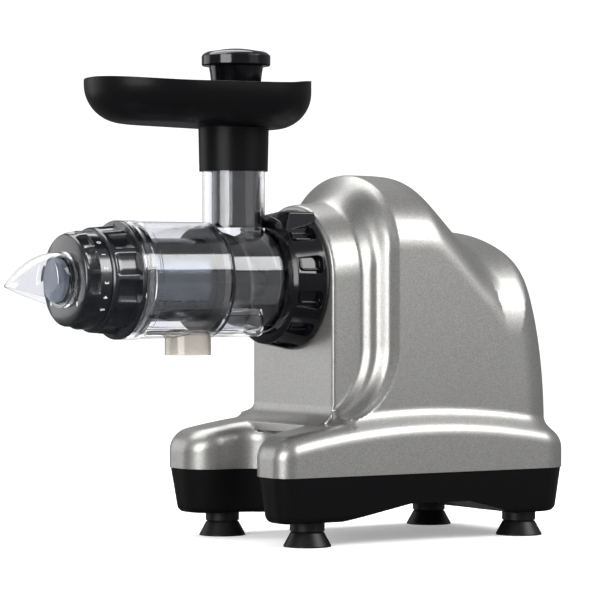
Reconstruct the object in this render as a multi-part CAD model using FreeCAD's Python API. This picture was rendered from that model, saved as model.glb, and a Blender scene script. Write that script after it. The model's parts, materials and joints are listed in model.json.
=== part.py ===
import FreeCAD
import Part
import math
import os

# Cold press juicer with a horizontal auger, millimetres, +Z up.
# Stations along X count from the centre of the four feet, the auger axis is parallel to X
# and the pulp leaves toward -X. At the end everything is moved along X so that the origin
# is under the middle of the whole machine.

Vector = FreeCAD.Vector
X_AXIS = Vector(1, 0, 0)
Y_AXIS = Vector(0, 1, 0)
Z_AXIS = Vector(0, 0, 1)

# Stance
foot_span_x = 203.2
foot_edge_gap = 27.0
auger_axis_z = 205.6

# Fits
running_gap = 0.05
seat_gap = 0.1
loose_gap = 0.3

# Suction feet
cup_radius = 18.5
cup_neck_radius = 13.2
cup_height = 11.6
cup_hollow_depth = 6.0
foot_stem_radius = 13.5
foot_peg_radius = 7.0
foot_peg_height = 9.0

# Base pan
base_bottom_z = 19.0
seam_z = 54.6
base_draft = 5.0
base_wall = 3.0
base_edge_round = 6.0
seam_inset = 0.9
arch_rise = 12.0
arch_front_x = -82.0
arch_crown_front_x = -20.0
arch_crown_rear_x = 36.0
arch_rear_x = 86.0
vent_slots = 9
vent_pitch = 9.0
vent_width = 4.0
vent_length = 44.0

# Plan of the base and of the skirt that stands on it
plan_front_x = -141.5
plan_rear_x = 139.5
plan_half_width = 90.0
notch_half_width = 36.0
notch_end_x = -84.0
front_outer_round = 15.0
prong_flat = 14.0
notch_round = 24.0
rear_round = 30.0
screw_edge_gap = 12.0
waist_screw_x = -20.0

# Skirt and prongs of the upper housing
skirt_crown_z = 98.6
skirt_crown_x = 0.0
skirt_arch_drop = 22.0
skirt_edge_round = 15.0
housing_wall = 3.0

# Drum port, ridged shoulders and rear hump of the upper housing
panel_x = -75.0
port_half_width = 59.0
port_flare = 2.5
shoulder_front_x = -52.0
shoulder_rear_x = -25.0
body_half_width = 79.0
body_top_z = 289.4
crown_height = 60.0
roof_break_x = 12.4
roof_slope = 1.0
roof_break_softness = 6.0
ridge_pitch = 10.9
ridge_first_x = -44.4
ridge_height = 1.1
ridge_fade_z = 236.0
ridge_fade_length = 34.0
sweep_start_z = 154.0
sweep_end_z = 96.0
sweep_length = 52.0
sweep_share = 0.98
hump_crest_x = 76.0
hump_spring_reach = 27.0
hump_top_z = 244.5
hump_spring_z = 160.0
hump_blend = 7.0
valley_start_z = 165.0
valley_rise = 45.0
hump_rear_spring_z = 86.0
hump_edge_blend = 8.0
body_rear_x = 133.0
body_rear_round = 36.0
rear_flat_inset = 1.0
cove_radius = 15.0
cove_inset = 0.7
cove_lip = 2.0

# Bayonet collar and lock ring
collar_radius = 44.0
collar_bore_radius = 37.0
collar_front_x = -96.2
collar_screw_circle = 40.5
lug_count = 4
lug_angle = 40.0
lug_height = 2.5
lug_thickness = 4.0
lug_gap = 0.4
collar_lug_x = -92.0
ring_front_x = -103.4
ring_nose_x = -104.7
ring_nose_radius = 42.0
ring_rear_x = -75.6
ring_front_radius = 50.6
ring_rear_radius = 55.4
ring_bore_radius = 47.0
ring_lip_radius = 40.6
ring_pockets = 12
ring_pocket_first = 13.0
ring_pocket_width = 15.4
ring_pocket_floor = 48.9
ring_pocket_length = 20.5
ring_grip_near_y = -33.0
ring_grip_far_y = -12.0
ring_grip_top_z = 258.7
ring_grip_front_x = -98.0

# Clear drum body
drum_rear_x = -96.6
drum_flange_radius = 46.6
drum_flange_thickness = 3.4
feed_radius = 40.0
feed_wall = 2.5
jacket_rear_x = -157.0
jacket_radius = 45.0
drum_front_x = -233.4
drum_rim_radius = 45.7
drum_rim_length = 14.0
channel_end_x = -110.0
channel_half_width = 35.0
channel_top_z = 183.0
channel_radius = 44.6
channel_wall = 2.0
channel_end_round = 9.0
channel_plan_round = 45.0
chute_x = -129.6
chute_radius = 24.5
chute_wall = 2.5
chute_top_z = 321.6
chute_ledge_z = 244.0
chute_ledge_height = 2.0
chute_ledge_width = 5.4
outlet_x = -171.2
outlet_radius = 18.0
outlet_wall = 1.6
outlet_bottom_z = 147.4
outlet_neck_radius = 15.0

# Juicing screen and auger
screen_front_x = -223.2
screen_rear_x = -160.0
screen_radius = 32.2
screen_wall = 1.4
screen_flange_radius = 41.6
screen_flange_thickness = 2.0
screen_slot_rows = 9
screen_slot_angle = 15.0
screen_slot_length = 10.0
screen_slot_width = 1.2
screen_slot_pitch = 12.6
screen_ring_length = 3.4
auger_front_x = -231.0
auger_rear_x = -106.0
auger_core_front = 25.5
auger_core_rear = 15.0
auger_screw_radius = 30.2
auger_screw_pitch = 14.0
auger_feed_radius = 36.6
auger_feed_pitch = 24.0
auger_screw_thickness = 3.0
auger_nose_radius = 5.0
auger_nose_length = 13.0
auger_socket_radius = 11.5
auger_socket_length = 26.0
auger_disc_radius = 36.6
auger_disc_thickness = 4.0

# End cap, pressure dial, pulp plug and spout
cap_front_x = -258.8
cap_face_radius = 38.8
cap_front_radius = 40.2
cap_flute_radius = 41.9
cap_rear_flange_radius = 45.7
cap_rear_flange_length = 2.7
cap_flutes = 12
cap_flute_first = 12.0
cap_flute_tool_radius = 8.0
cap_flute_depth = 2.6
cap_flute_front_x = -254.6
cap_sleeve_radius = 41.9
cap_sleeve_wall = 4.0
cap_groove_depth = 2.2
cap_sleeve_length = 10.0
cap_lug_x = -227.5
cap_lug_height = 1.9
cap_lug_length = 3.2
cap_lug_angle = 22.0
cap_lug_count = 3
cap_turn = 30.0
nozzle_radius = 18.4
nozzle_wall = 1.3
nozzle_front_x = -283.0
hub_radius = 8.0
hub_front_x = -266.0
hub_rear_x = -240.0
hub_rib_thickness = 3.0
dial_face_x = -280.0
dial_rear_x = -259.2
dial_face_radius = 33.9
dial_radius = 37.6
dial_flutes = 12
dial_flute_first = 5.0
dial_flute_tool_radius = 6.5
dial_flute_depth = 2.2
dial_flute_front_x = -277.2
dial_band_x = -268.6
dial_chamfer = 5.0
plug_radius = 16.8
plug_front_x = -290.5
plug_disc_thickness = 3.4
plug_stem_radius = 4.0
plug_stem_rear_x = -254.0
spout_ring_rear_x = -280.4
spout_radius = 21.4
spout_wall = 1.5
spout_tip_x = -331.0
spout_tip_z = 201.0
spout_mouth_z = 186.0
spout_tip_share = 0.985
spout_crown_power = 2.4
spout_plan_power = 1.6
spout_plan_fullness = 0.7

# Hopper tray and pusher
tray_end_radius = 61.0
tray_reach = 64.0
tray_rim_z = 360.6
tray_rim_rise = 2.0
tray_rim_dip = 4.6
tray_floor_slope = 0.026
tray_bottom_z = 324.2
tray_wall = 2.6
tray_edge_round = 29.0
collar_sleeve_radius = 27.7
collar_sleeve_bottom_z = 290.4
collar_sleeve_taper = 0.8
pusher_radius = 19.3
pusher_lean_x = 2.3
pusher_wall = 2.6
pusher_bottom_gap = 0.3
pusher_shoulder_z = 334.0
knob_radius = 27.0
knob_top_z = 386.6
knob_edge_z = 372.7
knob_side_height = 6.5
knob_crown_radius = 19.0
knob_crown_sag = 2.4
knob_neck_radius = 19.1
knob_neck_z = 350.0
knob_flare_radius = 21.4
knob_plug_depth = 16.0

# Gearbox
gear_pressure_angle = 25.0
gear_addendum = 0.9
gear_dedendum = 1.2
gear_backlash = 0.16
pinion_teeth = 12
wheel_teeth = 50
first_module = 1.25
second_module = 1.5
gearbox_front_x = -68.0
gearbox_rear_x = -12.0
gearbox_radius = 50.0
gearbox_wall = 4.0
gearbox_plate = 8.0
gearbox_screw_radius = 2.5
first_stage_x = -51.0
first_stage_width = 9.0
second_stage_x = -36.0
second_stage_width = 13.0
drive_shaft_radius = 8.0
drive_hex_radius = 7.6
drive_hex_front_x = -130.0
countershaft_radius = 5.0
bush_wall = 4.0

# Motor
motor_shaft_radius = 5.0
stator_front_x = 14.0
stator_length = 58.0
stator_half_width = 45.0
stator_round = 12.0
rotor_radius = 26.0
air_gap = 0.4
winding_length = 11.0
winding_radius = 40.0
bracket_thickness = 8.0
bearing_radius = 11.0
bearing_length = 7.0
motor_bolt_radius = 2.5
motor_bolt_offset = 38.0
fan_radius = 37.0
fan_blades = 7
fan_gap = 5.0
fan_width = 12.0
mount_wall = 4.0
capacitor_radius = 15.0
capacitor_length = 52.0
capacitor_gap = 6.0
clamp_thickness = 2.0

# Switch and mains inlet on the back
switch_z = 124.0
switch_half_height = 13.0
switch_half_width = 9.0
switch_rim = 4.0
switch_rim_thickness = 2.4
switch_depth = 20.0
switch_wall = 1.6
rocker_turn = 10.0
inlet_z = 68.0
inlet_half_width = 14.0
inlet_half_height = 10.0
inlet_rim = 3.0
inlet_rim_thickness = 2.0
inlet_depth = 16.0
inlet_cavity_half_width = 11.5
inlet_cavity_half_height = 7.6
inlet_cavity_depth = 13.0
pin_spacing = 7.0
pin_rise = 2.0
pin_width = 2.0
pin_height = 4.0
pin_length = 11.0

# Worked out once and used by several pieces
counter_z = auger_axis_z - second_module * (pinion_teeth + wheel_teeth) / 2
motor_z = counter_z - first_module * (pinion_teeth + wheel_teeth) / 2
foot_reach_y = plan_half_width - foot_edge_gap
front_inner_round = plan_half_width - notch_half_width - front_outer_round - prong_flat
feed_bore = feed_radius - feed_wall
jacket_bore = jacket_radius - feed_wall
chute_bore = chute_radius - chute_wall
pusher_x = chute_x + pusher_lean_x
drum_rim_bore = cap_sleeve_radius + loose_gap

pieces = {}


def add(name, shape):
    pieces[name] = shape


# Helpers

def disc(x0, x1, radius, y=0.0, z=auger_axis_z):
    """Solid cylinder along X between two stations."""
    return Part.makeCylinder(radius, x1 - x0, Vector(x0, y, z), X_AXIS)


def tube(x0, x1, radius, bore, y=0.0, z=auger_axis_z):
    """Cylinder along X with a bore right through."""
    return disc(x0, x1, radius, y, z).cut(disc(x0 - 1, x1 + 1, bore, y, z))


def upright(radius, z0, z1, x, y):
    """Solid cylinder along Z."""
    return Part.makeCylinder(radius, z1 - z0, Vector(x, y, z0), Z_AXIS)


def block(x0, x1, y0, y1, z0, z1):
    return Part.makeBox(x1 - x0, y1 - y0, z1 - z0, Vector(x0, y0, z0))


def turned(profile, z=auger_axis_z):
    """Solid of revolution about the auger axis from (station, radius) pairs."""
    points = [Vector(x, 0, z + r) for x, r in profile]
    points.append(points[0])
    face = Part.Face(Part.makePolygon(points))
    return face.revolve(Vector(0, 0, z), X_AXIS, 360)


def turned_upright(profile, x, y=0.0):
    """Solid of revolution about a vertical axis from (radius, height) pairs."""
    points = [Vector(x + r, y, z) for r, z in profile]
    points.append(points[0])
    face = Part.Face(Part.makePolygon(points))
    return face.revolve(Vector(x, y, 0), Z_AXIS, 360)


def around(shape, elevation, z=auger_axis_z):
    """Copy of a shape made at the top, turned to an angle counted up from the -Y side."""
    copy = shape.copy()
    copy.rotate(Vector(0, 0, z), X_AXIS, 90 - elevation)
    return copy


def rounded_outline(corners, z):
    """Closed wire at one height with each corner (x, y, radius) rounded by a tangent arc."""
    count = len(corners)
    joints = []
    for i in range(count):
        x, y, radius = corners[i]
        here = Vector(x, y, z)
        before = Vector(corners[i - 1][0], corners[i - 1][1], z) - here
        after = Vector(corners[(i + 1) % count][0], corners[(i + 1) % count][1], z) - here
        before.normalize()
        after.normalize()
        half = before.getAngle(after) / 2
        reach = radius / math.tan(half)
        middle = (before + after).normalize() * (radius / math.sin(half) - radius)
        joints.append((here + before * reach, here + middle, here + after * reach))
    edges = []
    for i in range(count):
        start, middle, end = joints[i]
        edges.append(Part.Arc(start, middle, end).toShape())
        following = joints[(i + 1) % count][0]
        if end.distanceToPoint(following) > 1e-6:
            edges.append(Part.LineSegment(end, following).toShape())
    return Part.Wire(edges)


def prism(corners, z0, z1):
    """Upright prism on a rounded outline."""
    return Part.Face(rounded_outline(corners, z0)).extrude(Vector(0, 0, z1 - z0))


def rounded_bar(x0, x1, half_y, half_z, radius, y=0.0, z=auger_axis_z):
    """Bar along X with a rounded rectangular section."""
    bar = prism([(-half_z, -half_y, radius), (half_z, -half_y, radius),
                 (half_z, half_y, radius), (-half_z, half_y, radius)], 0, x1 - x0)
    bar.rotate(Vector(0, 0, 0), Y_AXIS, 90)
    bar.translate(Vector(x0, y, z))
    return bar


def fuse(shapes):
    first = shapes[0]
    return first.fuse(shapes[1:]).removeSplitter()


def solid_of(shape):
    """The one solid in a boolean's result."""
    return shape.Solids[0] if len(shape.Solids) == 1 else shape


def blend_step(t):
    """Smooth step from 0 to 1."""
    t = min(max(t, 0.0), 1.0)
    return t * t * (3 - 2 * t)


# Form of the upper housing above the skirt, as a function that is negative inside

def roof_z(x, inset):
    """Height of the front volume's crown: port, rising shoulder, level crown, falling roof."""
    port_top = auger_axis_z + port_half_width
    rise = blend_step((x - shoulder_front_x) / (shoulder_rear_x - shoulder_front_x))
    flare = port_flare * min(max((x - panel_x) / (shoulder_front_x - panel_x), 0.0), 1.0)
    front = port_top + flare + (body_top_z - port_top - port_flare) * rise
    over = x - roof_break_x
    fall = roof_slope * 0.5 * (over + math.sqrt(over * over + roof_break_softness ** 2))
    return front - fall - inset


def side_y(x, z, inset):
    """Half width of the front volume, with the two ridges that run up its shoulders."""
    down = (sweep_start_z - z) / (sweep_start_z - sweep_end_z)
    turn = min(max(down, 0.0), sweep_share)
    sweep = sweep_length * (1 - math.sqrt(1 - turn * turn))
    local = x + sweep
    step = (local - shoulder_front_x) / (shoulder_rear_x - shoulder_front_x)
    wide = port_half_width + (body_half_width - port_half_width) * blend_step(step)
    window = math.sin(math.pi * min(max(step, 0.0), 1.0))
    fade = 1 - blend_step((z - ridge_fade_z) / ridge_fade_length)
    wave = ridge_height * window * fade * math.cos(2 * math.pi * (local - ridge_first_x) / ridge_pitch)
    return wide + wave - inset


def arch_level(y, z, half, spring, rise):
    """Distance-like value of a wall with an elliptical arch on it, negative inside."""
    up = max(z - spring, 0.0) / rise
    across = y / half
    return (math.sqrt(across * across + up * up) - 1) * rise


def front_volume(x, y, z, inset):
    top = roof_z(x, inset)
    port_share = blend_step((x - shoulder_front_x) / (shoulder_rear_x - shoulder_front_x))
    rise = port_half_width + (crown_height - port_half_width) * port_share - inset
    rise = max(rise, 5.0)
    return arch_level(y, z, side_y(x, z, inset), top - rise, rise)


def rear_hump(x, y, z, inset):
    half = body_half_width - inset
    rise = hump_top_z - hump_spring_z - inset
    ahead = max(hump_crest_x - 2 * hump_spring_reach - x, 0.0)
    return arch_level(y, z, half, hump_spring_z, rise) + ahead


def rear_x(z, inset):
    """Station of the back wall at a height, an upright quarter ellipse above its spring."""
    reach = hump_top_z - inset - hump_rear_spring_z
    up = min(max(z - hump_rear_spring_z, 0.0) / reach, 1.0)
    return hump_crest_x + (body_rear_x - inset - hump_crest_x) * math.sqrt(1 - up * up)


def body_level(x, y, z, inset):
    """The two volumes joined by a small valley, cut off by the rounded back."""
    front = front_volume(x, y, z, inset)
    hump = rear_hump(x, y, z, inset)
    mix = max(hump_blend - abs(front - hump), 0.0) / hump_blend
    mix *= blend_step((z - valley_start_z) / valley_rise)
    joined = min(front, hump) - mix * mix * hump_blend / 4
    corner_x = x - (rear_x(z, inset) - body_rear_round)
    corner_y = abs(y) - (body_half_width - inset - body_rear_round)
    outside = math.hypot(max(corner_x, 0.0), max(corner_y, 0.0)) - body_rear_round
    mix = max(hump_edge_blend - abs(joined - outside), 0.0) / hump_edge_blend
    return max(joined, outside) + mix * mix * hump_edge_blend / 4


def section_reach(x, angle, inset, floor_z):
    """Distance from the middle of the section's foot to its outline, at an angle."""
    low = 0.0
    high = 400.0
    for step in range(34):
        middle = (low + high) / 2
        y = middle * math.cos(angle)
        z = floor_z + middle * math.sin(angle)
        if body_level(x, y, z, inset) < 0:
            low = middle
        else:
            high = middle
    return (low + high) / 2


def section_points(x, inset, floor_z):
    """Points of one section of the body, from the -Y foot over the crown to the +Y foot."""
    points = []
    steps = 36
    for k in range(steps + 1):
        angle = math.pi * k / steps
        reach = section_reach(x, math.pi - angle, inset, floor_z)
        points.append(Vector(x, reach * math.cos(math.pi - angle), floor_z + reach * math.sin(angle)))
    return points


def body_stations(inset):
    """Stations of the sections: even ones on the port, close ones on the ridges, then wider."""
    start = panel_x + inset
    sweep_front = max(shoulder_front_x - sweep_length, panel_x)
    stations = [start]
    close = [sweep_front + 2.6 * i for i in range(int((shoulder_rear_x - sweep_front) / 2.6) + 2)]
    stations += [x for x in close if x > start + 1.2]
    last = stations[-1]
    end = body_rear_x - inset - rear_flat_inset
    wide_count = 12
    bend = end - body_rear_round
    stations += [last + (bend - last) * (i + 1) / wide_count for i in range(wide_count)]
    corner_count = 7
    for i in range(corner_count):
        turn = math.pi / 2 * (i + 1) / corner_count
        stations.append(bend + body_rear_round * math.sin(turn))
    return stations


def chord_parameters(rows):
    """Shares of the way along the rows' columns, averaged over all the columns."""
    count = len(rows)
    totals = [0.0] * count
    for column in range(len(rows[0])):
        walked = [0.0]
        for i in range(1, count):
            walked.append(walked[-1] + rows[i][column].distanceToPoint(rows[i - 1][column]) + 1e-6)
        for i in range(count):
            totals[i] += walked[i] / walked[-1]
    return [t / totals[-1] for t in totals]


def spline_through(points, parameters):
    curve = Part.BSplineCurve()
    curve.interpolate(Points=points, Parameters=parameters)
    return curve


def smooth_skin(rows):
    """Surface that passes exactly through a grid of points."""
    columns = [list(column) for column in zip(*rows)]
    along_rows = chord_parameters(columns)
    across_rows = chord_parameters(rows)
    first = [spline_through(row, along_rows) for row in rows]
    pole_columns = zip(*[curve.getPoles() for curve in first])
    second = [spline_through(list(column), across_rows) for column in pole_columns]
    poles = [list(row) for row in zip(*[curve.getPoles() for curve in second])]
    surface = Part.BSplineSurface()
    surface.buildFromPolesMultsKnots(poles, second[0].getMultiplicities(),
                                     first[0].getMultiplicities(), second[0].getKnots(),
                                     first[0].getKnots(), False, False, 3, 3)
    return surface.toShape()


def closed_skin(rows):
    """Solid between a smooth skin over rows of points, its two ends and its flat foot."""
    skin = smooth_skin(rows)
    first_edge = min(skin.Edges, key=lambda e: e.BoundBox.Center.x)
    last_edge = max(skin.Edges, key=lambda e: e.BoundBox.Center.x)
    feet = [e for e in skin.Edges if not e.isSame(first_edge) and not e.isSame(last_edge)]
    front_foot = Part.LineSegment(rows[0][0], rows[0][-1]).toShape()
    rear_foot = Part.LineSegment(rows[-1][0], rows[-1][-1]).toShape()
    front = Part.Face(Part.Wire([first_edge, front_foot]))
    rear = Part.Face(Part.Wire([last_edge, rear_foot]))
    foot = Part.Face(Part.Wire(Part.__sortEdges__(feet + [front_foot, rear_foot])))
    shell = Part.Shell([skin, front, rear, foot])
    shell.sewShape()
    solid = Part.Solid(shell)
    if solid.Volume < 0:
        solid.reverse()
    return solid


def body_solid(inset, floor_z):
    rows = [section_points(x, inset, floor_z) for x in body_stations(inset)]
    return closed_skin(rows)


# Skirt, prongs and base pan

def plan_corners(inset):
    """Rounded plan of the base with the notch for the juice cup, drawn in by an inset."""
    front = plan_front_x + inset
    rear = plan_rear_x - inset
    half = plan_half_width - inset
    notch = notch_half_width + inset
    notch_end = notch_end_x + inset
    outer = front_outer_round - inset / 2
    inner = front_inner_round - inset / 2
    return [(rear, -half, rear_round - inset), (rear, half, rear_round - inset),
            (front, half, outer), (front, notch, inner),
            (notch_end, notch, notch_round), (notch_end, -notch, notch_round),
            (front, -notch, inner), (front, -half, outer)]


def skirt_solid(inset, bottom_z, top_drop):
    """Skirt and prongs: plan prism under a long shallow arch, with a rounded top edge."""
    crown = skirt_crown_z - top_drop
    ends = crown - skirt_arch_drop
    reach = plan_rear_x - plan_front_x
    plan = prism(plan_corners(inset), bottom_z, crown + 20)
    left = Vector(skirt_crown_x - reach * 0.6, -200, ends)
    right = Vector(skirt_crown_x + reach * 0.6, -200, ends)
    top = Part.Arc(left, Vector(skirt_crown_x, -200, crown), right).toShape()
    foot_left = Vector(left.x, -200, bottom_z - 20)
    foot_right = Vector(right.x, -200, bottom_z - 20)
    edges = [top, Part.LineSegment(right, foot_right).toShape(),
             Part.LineSegment(foot_right, foot_left).toShape(),
             Part.LineSegment(foot_left, left).toShape()]
    under_arch = Part.Face(Part.Wire(edges)).extrude(Vector(0, 400, 0))
    skirt = plan.common(under_arch)
    rim = [e for e in skirt.Edges if e.BoundBox.ZMin > bottom_z + 15 and not is_upright(e)]
    return skirt.makeFillet(skirt_edge_round - inset, rim)


def is_upright(edge):
    box = edge.BoundBox
    return box.XLength < 1e-3 and box.YLength < 1e-3


def cove_solid():
    """Hollow curve that leads the front panel forward onto the shelf above the notch."""
    shelf_z = skirt_crown_z - skirt_arch_drop * 0.25
    half = port_half_width - cove_inset
    top_z = shelf_z + cove_radius - cove_lip
    bar = block(panel_x - cove_radius, panel_x + housing_wall, -half, half, shelf_z - 4, top_z)
    tool = Part.makeCylinder(cove_radius, 2 * half + 2,
                             Vector(panel_x - cove_radius, -half - 1, shelf_z + cove_radius), Y_AXIS)
    return bar.cut(tool)


def make_upper_housing():
    outer = body_solid(0.0, seam_z).fuse([skirt_solid(0.0, seam_z, 0.0), cove_solid()])
    inner_body = body_solid(housing_wall, seam_z - 2)
    inner_skirt = skirt_solid(housing_wall, seam_z - 2, housing_wall)
    shell = outer.cut(inner_body.fuse(inner_skirt))
    port = disc(panel_x - 2, panel_x + housing_wall + 8, collar_bore_radius + 1.0)
    screws = [around(disc(panel_x - 2, panel_x + housing_wall + 2, 2.7,
                          0, auger_axis_z + collar_screw_circle), screw_angle(k))
              for k in range(lug_count)]
    rear = body_rear_x - rear_flat_inset
    switch_hole = block(rear - 8, rear + 6, -switch_half_width - switch_wall - seat_gap,
                        switch_half_width + switch_wall + seat_gap,
                        switch_z - switch_half_height - switch_wall - seat_gap,
                        switch_z + switch_half_height + switch_wall + seat_gap)
    inlet_hole = block(plan_rear_x - 12, plan_rear_x + 6, -inlet_half_width - seat_gap,
                       inlet_half_width + seat_gap, inlet_z - inlet_half_height - seat_gap,
                       inlet_z + inlet_half_height + seat_gap)
    shell = shell.cut([port, switch_hole, inlet_hole] + screws)
    posts = [upright(5.0, seam_z, skirt_crown_z, x, y).common(outer) for x, y in base_screw_places()]
    holes = [upright(1.8, seam_z - 1, base_post_top(), x, y) for x, y in base_screw_places()]
    return solid_of(shell.fuse(posts).cut(holes).removeSplitter())


def base_post_top():
    """Height of the bottom of the blind screw holes."""
    return seam_z + 20.0


def base_screw_places():
    """Six screws: one in each prong, two at the waist and two at the back."""
    places = []
    for side in (-1, 1):
        places.append((plan_front_x + 17.0, side * (plan_half_width - foot_edge_gap)))
        places.append((waist_screw_x, side * (plan_half_width - screw_edge_gap)))
        places.append((plan_rear_x - 20.0, side * (plan_half_width - 2 * screw_edge_gap)))
    return places


def arch_tool():
    """Prism that raises the underside between the feet."""
    points = [Vector(arch_front_x, -200, base_bottom_z - 1), Vector(arch_front_x, -200, base_bottom_z),
              Vector(arch_crown_front_x, -200, base_bottom_z + arch_rise),
              Vector(arch_crown_rear_x, -200, base_bottom_z + arch_rise),
              Vector(arch_rear_x, -200, base_bottom_z), Vector(arch_rear_x, -200, base_bottom_z - 1)]
    points.append(points[0])
    tool = Part.Face(Part.makePolygon(points)).extrude(Vector(0, 400, 0))
    return tool


def base_form(inset, bottom_z, top_z):
    """Tapered form of the base pan, narrower at the bottom."""
    share = (seam_z - bottom_z) / (seam_z - base_bottom_z)
    upper = rounded_outline(plan_corners(seam_inset + inset), top_z)
    lower = rounded_outline(plan_corners(seam_inset + inset + base_draft * share), bottom_z)
    return Part.makeLoft([lower, upper], True, True)


def make_base_pan():
    outer = base_form(0.0, base_bottom_z, seam_z - seat_gap)
    rim = [e for e in outer.Edges if e.BoundBox.ZMax < base_bottom_z + 1e-3]
    outer = outer.makeFillet(base_edge_round, rim).cut(arch_tool())
    inner = base_form(base_wall, base_bottom_z + base_wall, seam_z + 1)
    lifted = arch_tool()
    lifted.translate(Vector(0, 0, base_wall))
    floor = lifted.common(inner)
    pan = outer.cut(inner.cut(floor))
    posts = [upright(6.0, base_bottom_z, seam_z - seat_gap, x, y).common(outer)
             for x, y in base_screw_places()]
    holes = [upright(2.3, base_bottom_z - 2, seam_z + 2, x, y) for x, y in base_screw_places()]
    heads = [upright(4.6, base_bottom_z - 2, base_bottom_z + arch_rise + 6, x, y)
             for x, y in base_screw_places()]
    pan = pan.fuse(posts).cut(holes + heads)
    feet = [upright(foot_peg_radius + seat_gap, base_bottom_z - 2,
                    base_bottom_z + base_wall + 3, x, y) for x, y in foot_places().values()]
    slots = [block(60 - vent_pitch * (k - (vent_slots - 1) / 2) - vent_width / 2,
                   60 - vent_pitch * (k - (vent_slots - 1) / 2) + vent_width / 2,
                   -vent_length / 2, vent_length / 2, 0, base_bottom_z + arch_rise + 10)
             for k in range(vent_slots)]
    return solid_of(pan.cut(feet + slots))


def foot_places():
    reach_x = foot_span_x / 2
    reach_y = foot_reach_y
    return {"foot_front_right": (-reach_x, -reach_y), "foot_front_left": (-reach_x, reach_y),
            "foot_rear_right": (reach_x, -reach_y), "foot_rear_left": (reach_x, reach_y)}


def make_foot(x, y):
    """Rubber suction cup, hollow underneath, with a stem and a peg that plugs into the base."""
    stem_top = base_bottom_z - seat_gap
    hollow = cup_radius - 1.6
    profile = [(0, cup_hollow_depth), (hollow * 0.55, cup_hollow_depth * 0.8), (hollow, 0),
               (cup_radius, 0), (cup_radius, 1.0), (cup_neck_radius, cup_height - 0.8),
               (cup_neck_radius - 1.0, cup_height), (foot_stem_radius, cup_height + 0.6),
               (foot_stem_radius, stem_top), (foot_peg_radius, stem_top),
               (foot_peg_radius, stem_top + foot_peg_height), (0, stem_top + foot_peg_height)]
    return turned_upright(profile, x, y)


def make_base_screws():
    """Six screws from below, into the posts of the upper housing."""
    seat = base_bottom_z + arch_rise + 6
    screws = []
    for x, y in base_screw_places():
        head = upright(4.3, seat - 3.0, seat, x, y)
        shank = upright(1.75, seat, base_post_top() - 3, x, y)
        screws.append(head.fuse(shank))
    return Part.makeCompound(screws)


# Bayonet collar and lock ring

def lug_sector(x0, x1, inner, outer, middle, angle):
    """Piece of a ring between two stations, centred on an angle from the top."""
    ring = tube(x0, x1, outer, inner)
    wedge = Part.makeCylinder(outer + 10, x1 - x0, Vector(x0, 0, auger_axis_z), X_AXIS, angle)
    wedge.rotate(Vector(0, 0, auger_axis_z), X_AXIS, middle - angle / 2)
    return ring.common(wedge)


def screw_angle(k):
    """Elevation of a collar screw, half way between two lugs."""
    return 360 / lug_count * (k + 0.5)


def make_bayonet_collar():
    collar = tube(collar_front_x, panel_x - seat_gap, collar_radius, collar_bore_radius)
    lugs = [lug_sector(collar_lug_x, collar_lug_x + lug_thickness, collar_radius - 0.5,
                       collar_radius + lug_height, 360 / lug_count * k, lug_angle)
            for k in range(lug_count)]
    holes = [around(disc(panel_x - 12, panel_x + 1, 1.9, 0, auger_axis_z + collar_screw_circle),
                    screw_angle(k)) for k in range(lug_count)]
    return solid_of(collar.fuse(lugs).cut(holes))


def make_collar_screws():
    """Four screws from inside the housing into the collar."""
    inside = panel_x + housing_wall + seat_gap
    z = auger_axis_z + collar_screw_circle
    screw = disc(panel_x - 11, inside, 1.85, 0, z).fuse(disc(inside, inside + 2.4, 4.0, 0, z))
    return Part.makeCompound([around(screw, screw_angle(k)) for k in range(lug_count)])


def ring_pocket():
    """Tool for one finger pocket: level floor under the flared wall, round corners behind."""
    half = ring_pocket_width / 2
    front = ring_front_x + 2.6
    rear = front + ring_pocket_length
    return prism([(front, -half * 0.78, 1.2), (rear, -half, 4.0), (rear, half, 4.0),
                  (front, half * 0.78, 1.2)], auger_axis_z + ring_pocket_floor,
                 auger_axis_z + ring_rear_radius + 5)


def ring_grip():
    """Flat-topped lug that gives the hand a hold for turning the ring."""
    top = ring_grip_top_z
    low = auger_axis_z + ring_bore_radius * 0.7
    points = [Vector(ring_grip_front_x - 3.0, ring_grip_near_y, low),
              Vector(ring_grip_front_x - 3.0, ring_grip_near_y, top - 9),
              Vector(ring_grip_front_x, ring_grip_near_y, top),
              Vector(ring_rear_x, ring_grip_near_y, top), Vector(ring_rear_x, ring_grip_near_y, low)]
    points.append(points[0])
    depth = Vector(0, ring_grip_far_y - ring_grip_near_y, 0)
    lug = Part.Face(Part.makePolygon(points)).extrude(depth)
    edges = [e for e in lug.Edges if e.BoundBox.ZMin > top - 1e-3 and e.BoundBox.XLength > 1]
    rounded = lug.makeFillet(1.6, edges)
    return rounded.cut(disc(ring_front_x - 5, ring_rear_x + 5, ring_bore_radius + 0.5))


def make_lock_ring():
    outer = [(ring_nose_x, ring_lip_radius), (ring_nose_x, ring_nose_radius),
             (ring_front_x - 0.4, ring_front_radius - 3.4), (ring_front_x + 1.8, ring_front_radius),
             (ring_rear_x - 2.5, ring_rear_radius), (ring_rear_x, ring_rear_radius - 1.0),
             (ring_rear_x, ring_bore_radius), (drum_lip_x(), ring_bore_radius),
             (drum_lip_x(), ring_lip_radius)]
    ring = turned(outer)
    front_lug = collar_lug_x + lug_thickness + lug_gap
    lugs = [lug_sector(front_lug, front_lug + lug_thickness, collar_radius + 0.5,
                       ring_bore_radius + 0.5, 360 / lug_count * k, lug_angle)
            for k in range(lug_count)]
    pockets = [around(ring_pocket(), ring_pocket_first + 360 / ring_pockets * k)
               for k in range(ring_pockets)]
    return solid_of(ring.cut(pockets).fuse([ring_grip()] + lugs))


def drum_lip_x():
    """Rear face of the lock ring's front lip, just ahead of the drum's flange."""
    return drum_rear_x - drum_flange_thickness - lug_gap


# Clear drum body

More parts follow.
